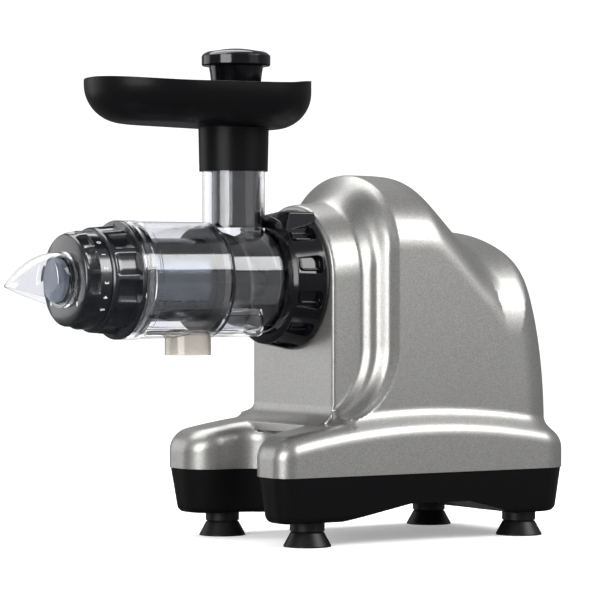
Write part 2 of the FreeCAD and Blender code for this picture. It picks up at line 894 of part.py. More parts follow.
def make_drum_body():
    flange_x = drum_rear_x - drum_flange_thickness
    seal_seat = drum_rear_x - 1.6
    outer = [(drum_front_x, drum_rim_radius), (drum_front_x + drum_rim_length, drum_rim_radius),
             (drum_front_x + drum_rim_length + 1.2, jacket_radius), (jacket_rear_x, jacket_radius),
             (jacket_rear_x + 3, feed_radius), (flange_x, feed_radius),
             (flange_x, drum_flange_radius), (drum_rear_x, drum_flange_radius)]
    profile = outer + [(drum_rear_x, 0), (drum_front_x, 0)]
    form = turned(profile)
    channel = trough(0.0)
    chute = upright(chute_radius, auger_axis_z, chute_top_z, chute_x, 0)
    neck = upright(outlet_radius - outlet_wall - seat_gap, outlet_bottom_z + 4,
                   auger_axis_z - jacket_bore + 6, outlet_x, 0)
    form = form.fuse([channel, chute, neck])
    bore = [(drum_front_x - 1, drum_rim_bore), (drum_front_x + drum_rim_length, drum_rim_bore),
            (drum_front_x + drum_rim_length, jacket_bore), (jacket_rear_x - 1, jacket_bore),
            (jacket_rear_x - 1, feed_bore), (drum_rear_x + 1, feed_bore)]
    inside = turned(bore + [(drum_rear_x + 1, 0), (drum_front_x - 1, 0)])
    channel_inside = trough(channel_wall).cut(disc(jacket_rear_x - 9, drum_rear_x, feed_radius))
    chute_inside = upright(chute_bore, auger_axis_z, chute_top_z + 1, chute_x, 0)
    outlet_inside = upright(outlet_neck_radius, outlet_bottom_z, auger_axis_z - screen_radius - 2,
                            outlet_x, 0)
    groove = cap_groove()
    seat = tube(seal_seat, drum_rear_x + 1, 43.4, 40.2)
    ledge = upright(chute_bore + 0.5, chute_ledge_z, chute_ledge_z + chute_ledge_height,
                    chute_x, 0).cut(upright(chute_bore - chute_ledge_width, auger_axis_z,
                                            chute_top_z, chute_x, 0))
    body = form.cut([inside, channel_inside, chute_inside, outlet_inside, seat] + groove)
    return solid_of(body.fuse(ledge))


def trough(inset):
    """Juice trough under the feed tube: a slice of the jacket with a rounded end."""
    radius = channel_radius - inset
    half = channel_half_width - inset
    end = channel_end_x - inset
    slice_form = disc(jacket_rear_x - 4 - inset, end, radius)
    keep = block(jacket_rear_x - 10, end, -half, half, auger_axis_z - radius - 1,
                 channel_top_z - inset)
    roll = channel_end_round - inset
    corner_z = auger_axis_z - radius
    square = block(end - roll, end + 1, -half, half, corner_z - 1, corner_z + roll)
    wheel = Part.makeCylinder(roll, 2 * half, Vector(end - roll, -half, corner_z + roll), Y_AXIS)
    plan_round = channel_plan_round - inset
    bow = upright(plan_round, corner_z - 1, channel_top_z, end - plan_round, 0)
    straight = block(jacket_rear_x - 10, end - plan_round, -half, half, corner_z - 1, channel_top_z)
    return slice_form.common(keep).cut(square.cut(wheel)).common(bow.fuse(straight))


def cap_groove():
    """Bayonet groove inside the drum's rim and the three slots that lead into it."""
    x0 = cap_lug_x - lug_gap
    x1 = cap_lug_x + cap_lug_length + lug_gap
    depth = cap_sleeve_radius + cap_lug_height + lug_gap
    tools = [tube(x0, x1, depth, drum_rim_bore - 0.5)]
    for k in range(cap_lug_count):
        tools.append(lug_sector(drum_front_x - 1, x1, drum_rim_bore - 0.5, depth,
                                360 / cap_lug_count * k - cap_turn, cap_lug_angle + 4))
    return tools


def make_drum_seal():
    """Flat rubber ring let into the back of the drum's flange."""
    return tube(drum_rear_x - 1.6 + seat_gap, drum_rear_x + 0.3, 43.3, 40.3)


def make_juice_outlet():
    """Short cup that clips over the outlet neck, with a wavy top edge."""
    top_z = auger_axis_z - jacket_radius - 0.6
    cup = upright(outlet_radius, outlet_bottom_z, top_z + 4, outlet_x, 0)
    bore = upright(outlet_radius - outlet_wall, outlet_bottom_z - 1, top_z + 5, outlet_x, 0)
    clear = disc(outlet_x - 40, outlet_x + 40, jacket_radius + loose_gap)
    return solid_of(cup.cut([bore, clear]))


def make_juicing_screen():
    tube_part = tube(screen_front_x, screen_rear_x, screen_radius, screen_radius - screen_wall)
    flange = tube(screen_front_x, screen_front_x + screen_flange_thickness, screen_flange_radius,
                  screen_radius - screen_wall)
    screen = tube_part.fuse(flange)
    slots = []
    for row in range(screen_slot_rows):
        angle = 180 + screen_slot_angle * (row - (screen_slot_rows - 1) / 2)
        for place in range(4):
            x = screen_front_x + 8 + screen_slot_pitch * place
            slot = block(x, x + screen_slot_length, -screen_slot_width / 2, screen_slot_width / 2,
                         auger_axis_z + screen_radius - screen_wall - 1,
                         auger_axis_z + screen_radius + 1)
            slot.rotate(Vector(0, 0, auger_axis_z), X_AXIS, angle)
            slots.append(slot)
    return solid_of(screen.cut(slots))


def make_screen_ring():
    """Ring at the back of the screen that fills the step in the drum."""
    x0 = screen_rear_x + seat_gap
    bore = auger_feed_radius + loose_gap
    rear = jacket_rear_x - 1 - seat_gap
    return turned([(x0 - screen_ring_length, screen_radius + seat_gap),
                   (x0 - screen_ring_length, jacket_bore - seat_gap), (rear, jacket_bore - seat_gap),
                   (rear, bore), (x0, bore), (x0, screen_radius + seat_gap)])


# Auger

def screw_flight(x0, x1, pitch, root, outer, thickness):
    """One turn after another of a square thread about the auger axis, as a solid."""
    height = x1 - x0
    helix = Part.makeHelix(pitch, height, outer - 2.0)
    half = thickness / 2
    points = [Vector(root, 0, -half - 0.8), Vector(outer, 0, -half), Vector(outer, 0, half),
              Vector(root, 0, half + 0.8)]
    points.append(points[0])
    profile = Part.Wire(Part.makePolygon(points))
    flight = Part.Wire(helix).makePipeShell([profile], True, True)
    flight.rotate(Vector(0, 0, 0), Y_AXIS, 90)
    flight.translate(Vector(x0, 0, auger_axis_z))
    return flight


def auger_split_x():
    """Where the coarse feed thread ends and the fine squeezing thread begins."""
    return screen_rear_x + 4.0


def make_auger():
    split = auger_split_x()
    middle = auger_core_rear + (auger_core_front - auger_core_rear) * 0.45
    nose_x = auger_front_x - auger_nose_length
    core = turned([(nose_x, 0), (nose_x, auger_nose_radius), (auger_front_x, auger_nose_radius),
                   (auger_front_x, auger_core_front), (split, middle),
                   (auger_rear_x - auger_disc_thickness, auger_core_rear),
                   (auger_rear_x - auger_disc_thickness, auger_disc_radius),
                   (auger_rear_x, auger_disc_radius), (auger_rear_x, 0)])
    half = auger_screw_thickness / 2 + 1
    fine = screw_flight(auger_front_x + half, split - half, auger_screw_pitch,
                        auger_core_rear + 1, auger_screw_radius, auger_screw_thickness)
    coarse = screw_flight(split + half, auger_rear_x - auger_disc_thickness - half, auger_feed_pitch,
                          auger_core_rear - 2, auger_feed_radius, auger_screw_thickness)
    socket = disc(auger_rear_x - auger_socket_length, auger_rear_x + 1,
                  auger_socket_radius + seat_gap)
    return solid_of(core.fuse([fine, coarse]).cut(socket))


def hexagon(x0, x1, radius):
    """Hexagonal bar on the auger axis, radius to its flats."""
    corner = radius / math.cos(math.pi / 6)
    points = [Vector(x0, corner * math.cos(math.pi / 3 * k),
                     auger_axis_z + corner * math.sin(math.pi / 3 * k)) for k in range(6)]
    points.append(points[0])
    return Part.Face(Part.makePolygon(points)).extrude(Vector(x1 - x0, 0, 0))


def make_auger_insert():
    """Steel socket moulded into the back of the auger, with a hexagonal bore."""
    body = disc(auger_rear_x - auger_socket_length + seat_gap, auger_rear_x, auger_socket_radius)
    return body.cut(hexagon(auger_rear_x - auger_socket_length + 1.5, auger_rear_x + 1,
                            drive_hex_radius + loose_gap))


# End cap, dial, plug and spout

def flute_tool(x_front, x_rear, radius, tool_radius, depth):
    """Groove cutter along X with a rounded front end."""
    z = auger_axis_z + radius - depth + tool_radius
    bar = Part.makeCylinder(tool_radius, x_rear - x_front, Vector(x_front, 0, z), X_AXIS)
    front = [e for e in bar.Edges if e.BoundBox.XMax < x_front + 1e-3]
    return bar.makeFillet(tool_radius * 0.45, front)


def make_end_cap():
    rear = drum_front_x - seat_gap
    sleeve_end = rear + cap_sleeve_length
    flange_front = rear - cap_rear_flange_length
    bore = cap_sleeve_radius - cap_sleeve_wall
    form = turned([(cap_front_x, 0), (cap_front_x, cap_face_radius),
                   (cap_front_x + 1.8, cap_front_radius), (flange_front - 1.6, cap_flute_radius),
                   (flange_front, cap_rear_flange_radius), (rear, cap_rear_flange_radius),
                   (rear, cap_sleeve_radius), (sleeve_end, cap_sleeve_radius), (sleeve_end, 0)])
    flutes = [around(flute_tool(cap_flute_front_x, flange_front, cap_flute_radius,
                                cap_flute_tool_radius, cap_flute_depth),
                     cap_flute_first + 360 / cap_flutes * k) for k in range(cap_flutes)]
    nozzle = disc(nozzle_front_x, cap_front_x + 2, nozzle_radius)
    nozzle_bore = nozzle_radius - nozzle_wall
    inside = turned([(nozzle_front_x - 1, 0), (nozzle_front_x - 1, nozzle_bore),
                     (cap_front_x + 3, nozzle_bore), (rear - 6, bore - 1), (sleeve_end + 1, bore),
                     (sleeve_end + 1, 0)])
    groove = tube(rear + 1.2, rear + 4.0, cap_sleeve_radius + 1,
                  cap_sleeve_radius - cap_groove_depth)
    hub = disc(hub_front_x, hub_rear_x, hub_radius)
    ribs = []
    for k in range(3):
        rib = block(hub_front_x + 4, hub_rear_x - 4, -hub_rib_thickness / 2, hub_rib_thickness / 2,
                    auger_axis_z + hub_radius - 1, auger_axis_z + cap_sleeve_radius)
        rib.rotate(Vector(0, 0, auger_axis_z), X_AXIS, 120 * k)
        ribs.append(rib.common(disc(nozzle_front_x, rear, nozzle_radius - 0.5).fuse(
            disc(cap_front_x + 6, rear, cap_flute_radius - 4))))
    stem_bore = disc(hub_front_x - 1, plug_stem_rear_x + 6, plug_stem_radius + running_gap)
    nose_bore = disc(auger_front_x - auger_nose_length - 1, hub_rear_x + 1,
                     auger_nose_radius + running_gap)
    lugs = [lug_sector(cap_lug_x, cap_lug_x + cap_lug_length, cap_sleeve_radius - 0.5,
                       cap_sleeve_radius + cap_lug_height, 360 / cap_lug_count * k, cap_lug_angle)
            for k in range(cap_lug_count)]
    cap = form.cut(flutes).fuse(nozzle).cut([inside, groove])
    return solid_of(cap.fuse([hub] + ribs + lugs).cut([stem_bore, nose_bore]))


def make_cap_seal():
    """O-ring in the end cap's groove."""
    section = 1.2
    x = drum_front_x - seat_gap + 2.6
    return Part.makeTorus(cap_sleeve_radius - cap_groove_depth + section + 0.05, section,
                          Vector(x, 0, auger_axis_z), X_AXIS)


def make_pressure_dial():
    form = turned([(dial_face_x, nozzle_radius + loose_gap), (dial_face_x, dial_face_radius),
                   (dial_face_x + 0.8, dial_face_radius + 0.8),
                   (dial_face_x + dial_chamfer, dial_radius - 1.0),
                   (dial_band_x, dial_radius), (dial_rear_x, dial_radius),
                   (dial_rear_x, nozzle_radius + loose_gap)])
    flutes = [around(flute_tool(dial_flute_front_x, dial_band_x, dial_radius,
                                dial_flute_tool_radius, dial_flute_depth),
                     dial_flute_first + 360 / dial_flutes * k) for k in range(dial_flutes)]
    return solid_of(form.cut(flutes))


def make_pulp_plug():
    """Domed disc and cone that hold the pulp back in the nozzle, on a sliding stem."""
    rear = plug_front_x + plug_disc_thickness + 1.5
    return turned([(plug_front_x - 0.0, 0), (plug_front_x, plug_radius * 0.55),
                   (plug_front_x + 1.5, plug_radius), (rear, plug_radius),
                   (rear + 8, plug_stem_radius + 2), (rear + 8, plug_stem_radius),
                   (plug_stem_rear_x, plug_stem_radius), (plug_stem_rear_x, 0)])


def spout_rows(inset):
    """Rows of points of the open hood, from its tip to its ring."""
    start = spout_ring_rear_x
    length = start - spout_tip_x - inset
    rows = []
    count = 14
    for i in range(count + 1):
        share = spout_tip_share * math.sin(math.pi / 2 * i / count)
        x = start - length * share
        foot = spout_mouth_z + (spout_tip_z - spout_mouth_z) * (start - x) / (start - spout_tip_x)
        crown = spout_tip_z - inset + (auger_axis_z + spout_radius - spout_tip_z) * (
            1 - share ** spout_crown_power)
        half = (spout_radius - inset) * (1 - share ** spout_plan_power) ** spout_plan_fullness
        rise = crown - foot + inset
        row = []
        steps = 16
        for k in range(steps + 1):
            turn = math.pi * k / steps
            across = math.cos(turn)
            up = math.sin(turn)
            row.append(Vector(x, -half * math.copysign(abs(across) ** 0.8, across),
                              foot - inset + rise * up ** 0.8))
        rows.append(row)
    rows.reverse()
    return rows


def make_pulp_spout():
    """Clear hood, open underneath, with a ring that grips the nozzle."""
    outer = closed_skin(spout_rows(0.0))
    inner = closed_skin(spout_rows(spout_wall))
    hood = outer.cut(inner)
    ring = tube(nozzle_front_x - 1.5, spout_ring_rear_x, spout_radius - 0.4,
                nozzle_radius + seat_gap)
    clear = disc(plug_front_x - 4, nozzle_front_x - 1.5, plug_radius + 1.0)
    return hood.cut(disc(nozzle_front_x - 3, spout_ring_rear_x + 1, nozzle_radius + seat_gap)).fuse(
        ring).cut(clear)


# Hopper tray and pusher

def tray_outline(radius):
    """Stadium round the chute and the far end of the tray, as rounded corners."""
    left = chute_x - tray_reach
    grip = radius - 0.01
    return [(left - radius, -radius, grip), (chute_x + radius, -radius, grip),
            (chute_x + radius, radius, grip), (left - radius, radius, grip)]


def tray_form(radius, bottom, top, edge):
    """Stadium bowl body whose floor falls toward the chute."""
    form = prism(tray_outline(radius), bottom, top)
    rim = [e for e in form.Edges if e.BoundBox.ZMax < bottom + 1e-3]
    bowl = form.makeFillet(edge, rim)
    slope = FreeCAD.Matrix()
    slope.A31 = -tray_floor_slope
    slope.A34 = tray_floor_slope * chute_x
    return bowl.transformGeometry(slope)


def rim_cutter():
    """Tool whose curved underside leaves the rim lowest at the middle of its long sides."""
    sag = tray_rim_dip
    reach = tray_end_radius
    side = Vector(-500, -reach, tray_rim_z - sag)
    other = Vector(-500, reach, tray_rim_z - sag)
    bow = Part.Arc(side, Vector(-500, 0, tray_rim_z), other).toShape()
    top = tray_rim_z + 60
    corners = [other, Vector(-500, reach, top), Vector(-500, -reach, top), side]
    edges = [bow] + [Part.LineSegment(corners[i], corners[i + 1]).toShape() for i in range(3)]
    tool = Part.Face(Part.Wire(edges)).extrude(Vector(700, 0, 0))
    span = 2 * tray_end_radius + tray_reach
    far_end = chute_x - tray_reach - tray_end_radius
    tool.rotate(Vector(far_end, 0, tray_rim_z), Y_AXIS, -math.degrees(math.atan2(tray_rim_rise, span)))
    return tool


def make_hopper_tray():
    outer = tray_form(tray_end_radius, tray_bottom_z, tray_rim_z + 20, tray_edge_round)
    inner = tray_form(tray_end_radius - tray_wall, tray_bottom_z + tray_wall, tray_rim_z + 25,
                      tray_edge_round - tray_wall)
    sleeve = turned_upright([(0, collar_sleeve_bottom_z),
                             (collar_sleeve_radius - collar_sleeve_taper, collar_sleeve_bottom_z),
                             (collar_sleeve_radius, tray_bottom_z + tray_wall),
                             (0, tray_bottom_z + tray_wall)], chute_x)
    socket = upright(chute_radius + loose_gap, collar_sleeve_bottom_z - 1,
                     chute_top_z + loose_gap, chute_x, 0)
    throat = upright(chute_bore, chute_top_z - 1, tray_rim_z, chute_x, 0)
    bowl = outer.cut(inner).cut(rim_cutter())
    return solid_of(bowl.fuse(sleeve).cut([socket, throat]))


def make_pusher_body():
    """Cup that slides in the chute, closed below, with a shoulder under the knob."""
    bottom = chute_ledge_z + chute_ledge_height + pusher_bottom_gap
    cup = turned_upright([(0, bottom), (pusher_radius - 1.5, bottom), (pusher_radius, bottom + 1.5),
                          (pusher_radius, pusher_shoulder_z), (0, pusher_shoulder_z)], pusher_x)
    hollow = upright(pusher_radius - pusher_wall, bottom + pusher_wall, pusher_shoulder_z + 1,
                     pusher_x, 0)
    return cup.cut(hollow)


def make_pusher_knob():
    """Domed knob on a waisted neck, with a plug that closes the pusher's cup."""
    plug = pusher_radius - pusher_wall - seat_gap
    foot = pusher_shoulder_z + seat_gap
    low = foot - knob_plug_depth
    side_z = knob_edge_z + 1.5 + knob_side_height
    crown_z = knob_top_z - knob_crown_sag
    sphere = (knob_crown_radius ** 2 + knob_crown_sag ** 2) / (2 * knob_crown_sag)
    half_turn = math.asin(knob_crown_radius / sphere) / 2

    def at(radius, z):
        return Vector(pusher_x + radius, 0, z)

    corner = (knob_radius - knob_crown_radius) * 0.29
    crown_middle = at(sphere * math.sin(half_turn), knob_top_z - sphere * (1 - math.cos(half_turn)))
    lines = [at(0, low), at(plug, low), at(plug, foot), at(knob_neck_radius, foot),
             at(knob_neck_radius, knob_neck_z)]
    flare = knob_flare_radius - knob_neck_radius
    flare_middle_z = (knob_neck_z + knob_edge_z) / 2
    edges = [Part.LineSegment(lines[i], lines[i + 1]).toShape() for i in range(4)]
    edges += [
        Part.Arc(lines[4], at(knob_neck_radius + flare * 0.27, flare_middle_z),
                 at(knob_flare_radius, knob_edge_z)).toShape(),
        Part.LineSegment(at(knob_flare_radius, knob_edge_z), at(knob_radius - 1.5, knob_edge_z)).toShape(),
        Part.Arc(at(knob_radius - 1.5, knob_edge_z), at(knob_radius - 0.44, knob_edge_z + 0.44),
                 at(knob_radius, knob_edge_z + 1.5)).toShape(),
        Part.LineSegment(at(knob_radius, knob_edge_z + 1.5), at(knob_radius, side_z)).toShape(),
        Part.Arc(at(knob_radius, side_z), at(knob_radius - corner, crown_z - corner * 0.55),
                 at(knob_crown_radius, crown_z)).toShape(),
        Part.Arc(at(knob_crown_radius, crown_z), crown_middle, at(0, knob_top_z)).toShape(),
        Part.LineSegment(at(0, knob_top_z), lines[0]).toShape()]
    face = Part.Face(Part.Wire(edges))
    return face.revolve(Vector(pusher_x, 0, 0), Z_AXIS, 360)


# Gears and gearbox

def involute(angle):
    return math.tan(angle) - angle


def spur_gear(teeth, module, x0, width, z, bore, tooth_angle):
    """Involute spur gear along X; tooth_angle turns one tooth's middle, 0 is up."""
    pitch = module * teeth / 2
    base = pitch * math.cos(math.radians(gear_pressure_angle))
    tip = pitch + gear_addendum * module
    root = pitch - gear_dedendum * module
    half_pitch = math.pi / (2 * teeth) - gear_backlash / (2 * pitch)
    start = max(root, base)

    def half_angle(radius):
        here = math.acos(min(base / radius, 1.0))
        return half_pitch + involute(math.radians(gear_pressure_angle)) - involute(here)

    def at(radius, angle):
        return Vector(x0, -radius * math.sin(angle), z + radius * math.cos(angle))

    edges = []
    middle_radius = (start * 0.45 + tip * 0.55)
    for k in range(teeth):
        centre = math.radians(tooth_angle) + 2 * math.pi * k / teeth
        following = centre + 2 * math.pi / teeth
        rise = [at(r, centre - half_angle(r)) for r in (start, middle_radius, tip)]
        fall = [at(r, centre + half_angle(r)) for r in (tip, middle_radius, start)]
        root_from = at(root, centre + half_angle(start))
        root_to = at(root, following - half_angle(start))
        edges.append(Part.Arc(rise[0], rise[1], rise[2]).toShape())
        edges.append(Part.LineSegment(rise[2], fall[0]).toShape())
        edges.append(Part.Arc(fall[0], fall[1], fall[2]).toShape())
        if start > root:
            edges.append(Part.LineSegment(fall[2], root_from).toShape())
        edges.append(Part.LineSegment(root_from, root_to).toShape())
        if start > root:
            edges.append(Part.LineSegment(root_to, at(start, following - half_angle(start))).toShape())
    face = Part.Face(Part.Wire(edges))
    return face.extrude(Vector(width, 0, 0)).cut(disc(x0 - 1, x0 + width + 1, bore, 0, z))


def gearbox_outline(x0, x1, radius):
    """Upright stadium plate round the drive shaft and the motor pinion."""
    low = motor_z - radius * 0.35
    top = disc(x0, x1, radius)
    bottom = disc(x0, x1, radius, 0, low + radius * 0.6)
    middle = block(x0, x1, -radius, radius, low + radius * 0.6, auger_axis_z)
    return top.fuse([bottom, middle]).removeSplitter()


def gearbox_screw_places():
    reach = gearbox_radius - 4.5
    low = motor_z + gearbox_radius * 0.25
    return [(-reach, auger_axis_z - 12), (reach, auger_axis_z - 12), (-reach, low + 8), (reach, low + 8)]


def make_gearbox():
    cover_rear = gearbox_front_x + gearbox_plate
    case = gearbox_outline(cover_rear, gearbox_rear_x, gearbox_radius)
    hollow = gearbox_outline(cover_rear - 1, gearbox_rear_x - gearbox_plate,
                             gearbox_radius - gearbox_wall)
    bosses = [disc(cover_rear, gearbox_rear_x - 2, 5.0, y, z) for y, z in gearbox_screw_places()]
    inside_limit = gearbox_outline(cover_rear, gearbox_rear_x, gearbox_radius - 0.5)
    bosses = [b.common(inside_limit) for b in bosses]
    case = case.cut(hollow).fuse(bosses)
    cover = gearbox_outline(gearbox_front_x, cover_rear - seat_gap, gearbox_radius)
    nose = disc(panel_x + housing_wall + 0.6, gearbox_front_x + 1, 30.0)
    cover = cover.fuse(nose)
    plate = gearbox_plate
    seats = [
        disc(panel_x - 5, cover_rear, drive_shaft_radius + bush_wall),
        disc(gearbox_front_x + 2, cover_rear + 1, countershaft_radius + bush_wall, 0, counter_z)]
    cover = cover.cut(seats)
    case_seats = [
        disc(gearbox_rear_x - plate - 1, gearbox_rear_x - 2, drive_shaft_radius + bush_wall),
        disc(gearbox_rear_x - plate - 1, gearbox_rear_x - 2, countershaft_radius + bush_wall,
             0, counter_z),
        disc(gearbox_rear_x - plate - 1, gearbox_rear_x + 1, bearing_radius - 2, 0, motor_z)]
    holes = [disc(gearbox_front_x - 5, gearbox_rear_x - 10, gearbox_screw_radius - 0.4, y, z)
             for y, z in gearbox_screw_places()]
    clearance = [disc(gearbox_front_x - 1, cover_rear, gearbox_screw_radius + 0.2, y, z)
                 for y, z in gearbox_screw_places()]
    add("gearbox_case", solid_of(case.cut(case_seats + holes)))
    add("gearbox_cover", solid_of(cover.cut(clearance)))
    screws = []
    for y, z in gearbox_screw_places():
        head = disc(gearbox_front_x - 3.0, gearbox_front_x - seat_gap / 2, 4.2, y, z)
        shank = disc(gearbox_front_x - 3.0, gearbox_rear_x - 14, gearbox_screw_radius - 0.45, y, z)
        screws.append(head.fuse(shank))
    add("gearbox_screws", Part.makeCompound(screws))


def make_gear_train():
    drive_bush = drive_shaft_radius + bush_wall
    counter_bush = countershaft_radius + bush_wall
    plate = gearbox_plate
    cover_rear = gearbox_front_x + plate
    drive_rear = gearbox_rear_x - 3.0
    front_bush_x = gearbox_front_x + 1.5
    add("drive_shaft_front_bush", tube(front_bush_x, cover_rear - seat_gap, drive_bush,
                                       drive_shaft_radius + running_gap))
    add("drive_shaft_rear_bush", tube(gearbox_rear_x - plate, gearbox_rear_x - 2, drive_bush,
                                      drive_shaft_radius + running_gap))
    add("countershaft_front_bush", tube(gearbox_front_x + 2, cover_rear - seat_gap, counter_bush,
                                        countershaft_radius + running_gap, 0, counter_z))
    add("countershaft_rear_bush", tube(gearbox_rear_x - plate, gearbox_rear_x - 2, counter_bush,
                                       countershaft_radius + running_gap, 0, counter_z))
    add("drive_shaft_seal", tube(front_bush_x - 5.5, front_bush_x - seat_gap, drive_bush,
                                 drive_shaft_radius + running_gap))
    shaft = disc(auger_rear_x + 6, drive_rear, drive_shaft_radius).fuse(
        hexagon(drive_hex_front_x, auger_rear_x + 6, drive_hex_radius))
    add("drive_shaft", shaft)
    add("output_gear", spur_gear(wheel_teeth, second_module, second_stage_x + 0.5,
                                 second_stage_width - 1, auger_axis_z, drive_shaft_radius, 180))
    add("countershaft", disc(gearbox_front_x + 3, drive_rear, countershaft_radius, 0, counter_z))
    add("second_stage_pinion", spur_gear(pinion_teeth, second_module, second_stage_x,
                                         second_stage_width, counter_z, countershaft_radius,
                                         180 / pinion_teeth))
    add("first_stage_gear", spur_gear(wheel_teeth, first_module, first_stage_x + 0.5,
                                      first_stage_width - 1, counter_z, countershaft_radius, 180))
    add("motor_pinion", spur_gear(pinion_teeth, first_module, first_stage_x, first_stage_width,
                                  motor_z, motor_shaft_radius - 1.5, 180 / pinion_teeth))


# Motor

def stator_rear_x():
    return stator_front_x + stator_length


def rear_bracket_x():
    return stator_rear_x() + winding_length + 4.0


def front_bracket_x():
    return stator_front_x - winding_length - 4.0 - bracket_thickness


def motor_bolt_places():
    return [(sy * motor_bolt_offset, motor_z + sz * motor_bolt_offset)
            for sy in (-1, 1) for sz in (-1, 1)]


def make_motor():
    rear = stator_rear_x()
    half = stator_half_width
    bolt_holes = [disc(front_bracket_x() - 5, rear_bracket_x() + 20, motor_bolt_radius + seat_gap, y, z)
                  for y, z in motor_bolt_places()]
    core = rounded_bar(stator_front_x, rear, half, half, stator_round, 0, motor_z)
    add("stator_core", core.cut([disc(stator_front_x - 1, rear + 1, rotor_radius + air_gap, 0, motor_z)]
                                + bolt_holes))
    ends = []
    for x0 in (stator_front_x - winding_length, rear + seat_gap):
        coil = tube(x0, x0 + winding_length - seat_gap, winding_radius - 4, rotor_radius + 3.0,
                    0, motor_z)
        ends.append(coil.makeFillet(3.0, coil.Edges[0:1]))
    add("stator_windings", Part.makeCompound(ends))
    arms = []
    for name, x0 in (("motor_front_bracket", front_bracket_x()), ("motor_rear_bracket", rear_bracket_x())):
        plate = rounded_bar(x0, x0 + bracket_thickness, half, half, stator_round, 0, motor_z)
        seat = disc(x0 - 1, x0 + bracket_thickness + 1, bearing_radius + 0.02, 0, motor_z)
        vents = []
        for k in range(4):
            vents.append(around(disc(x0 - 1, x0 + bracket_thickness + 1, 7.0, 0, motor_z + 26),
                                90 * k, motor_z))
        skirt_x0 = x0 + bracket_thickness if x0 < 0 else rear + seat_gap
        skirt_x1 = stator_front_x - seat_gap if x0 < 0 else x0
        wall = rounded_bar(skirt_x0, skirt_x1, half, half, stator_round, 0, motor_z).cut(
            disc(skirt_x0 - 1, skirt_x1 + 1, half - 3.5, 0, motor_z))
        add(name, solid_of(plate.fuse(wall).cut([seat] + vents + bolt_holes)))
        arms.append(x0)
    for name, x0 in (("motor_front_bearing", arms[0]), ("motor_rear_bearing", arms[1])):
        add(name, tube(x0 + 0.5, x0 + 0.5 + bearing_length, bearing_radius,
                       motor_shaft_radius + 0.02, 0, motor_z))
    bolts = []
    for y, z in motor_bolt_places():
        shank = disc(front_bracket_x() - 2.4, rear_bracket_x() + bracket_thickness + 3,
                     motor_bolt_radius, y, z)
        head = disc(rear_bracket_x() + bracket_thickness + seat_gap / 2,
                    rear_bracket_x() + bracket_thickness + 3.6, 4.5, y, z)
        bolts.append(shank.fuse(head))
    add("motor_bolts", Part.makeCompound(bolts))


def make_rotor():
    rear = stator_rear_x()
    fan_x = rear_bracket_x() + bracket_thickness + fan_gap
    pinion_end = first_stage_x + first_stage_width
    thin = motor_shaft_radius - 1.5
    shaft = disc(first_stage_x - 1, pinion_end + 1, thin, 0, motor_z).fuse(
        disc(pinion_end + 1, fan_x + fan_width, motor_shaft_radius, 0, motor_z))
    add("motor_shaft", shaft)
    core = tube(stator_front_x, rear, rotor_radius, motor_shaft_radius, 0, motor_z)
    rings = [tube(x0, x1, rotor_radius - 4, rotor_radius - 12, 0, motor_z)
             for x0, x1 in ((stator_front_x - 5, stator_front_x + 0.5), (rear - 0.5, rear + 5))]
    add("rotor_core", core.fuse(rings).removeSplitter())
    hub = tube(fan_x, fan_x + fan_width, 10.0, motor_shaft_radius, 0, motor_z)
    web = tube(fan_x, fan_x + 2.0, fan_radius, 9.0, 0, motor_z)
    blades = []
    for k in range(fan_blades):
        blade = block(fan_x + 1, fan_x + fan_width, -1.2, 1.2, motor_z + 9.5, motor_z + fan_radius - 1)
        blade.rotate(Vector(0, 0, motor_z), X_AXIS, 360 / fan_blades * k)
        blades.append(blade)
    add("cooling_fan", solid_of(hub.fuse([web] + blades).removeSplitter()))


def make_motor_mount():
    """Cradle that stands on the raised floor and carries the stator."""
    floor_z = base_bottom_z + arch_rise + base_wall + seat_gap
    top_z = motor_z - stator_half_width - seat_gap
    x0 = stator_front_x + 4
    x1 = stator_rear_x() - 22
    half = stator_half_width - 6
    frame = block(x0, x1, -half, half, floor_z, top_z)
    window = block(x0 - 1, x1 + 1, -half + mount_wall * 2, half - mount_wall * 2,
                   floor_z + mount_wall, top_z - mount_wall)
    return frame.cut(window)


def make_capacitor():
    z = motor_z + stator_half_width + capacitor_gap + capacitor_radius
    x0 = stator_front_x + 2
    can = disc(x0, x0 + capacitor_length, capacitor_radius, 0, z)
    rim = [e for e in can.Edges if e.BoundBox.XLength < 1e-3]
    can = can.makeFillet(1.5, rim)
    tabs = [block(x0 + capacitor_length - 0.5, x0 + capacitor_length + 7, y - 0.4, y + 0.4, z - 3, z + 3)
            for y in (-5, 5)]
    add("run_capacitor", can.fuse(tabs))
    bore = capacitor_radius + seat_gap
    strap = tube(x0 + 14, x0 + 34, bore + clamp_thickness, bore, 0, z)
    foot = block(x0 + 14, x0 + 34, -24, 24, motor_z + stator_half_width + seat_gap,
                 z - capacitor_radius + 2)
    add("capacitor_clamp", solid_of(strap.fuse(foot).cut(disc(x0, x0 + 60, bore, 0, z))))


# Switch and mains inlet

def make_switch():
    rear = body_rear_x - rear_flat_inset
    y = switch_half_width
    z = switch_half_height
    rim = block(rear + seat_gap, rear + seat_gap + switch_rim_thickness, -y - switch_rim,
                y + switch_rim, switch_z - z - switch_rim, switch_z + z + switch_rim)
    box = block(rear - switch_depth, rear + seat_gap + 1, -y - switch_wall, y + switch_wall,
                switch_z - z - switch_wall, switch_z + z + switch_wall)
    hollow = block(rear - switch_depth + 3, rear + 8, -y, y, switch_z - z, switch_z + z)
    add("switch_bezel", rim.fuse(box).cut(hollow).removeSplitter())
    add("switch_rocker", rocker(rear))


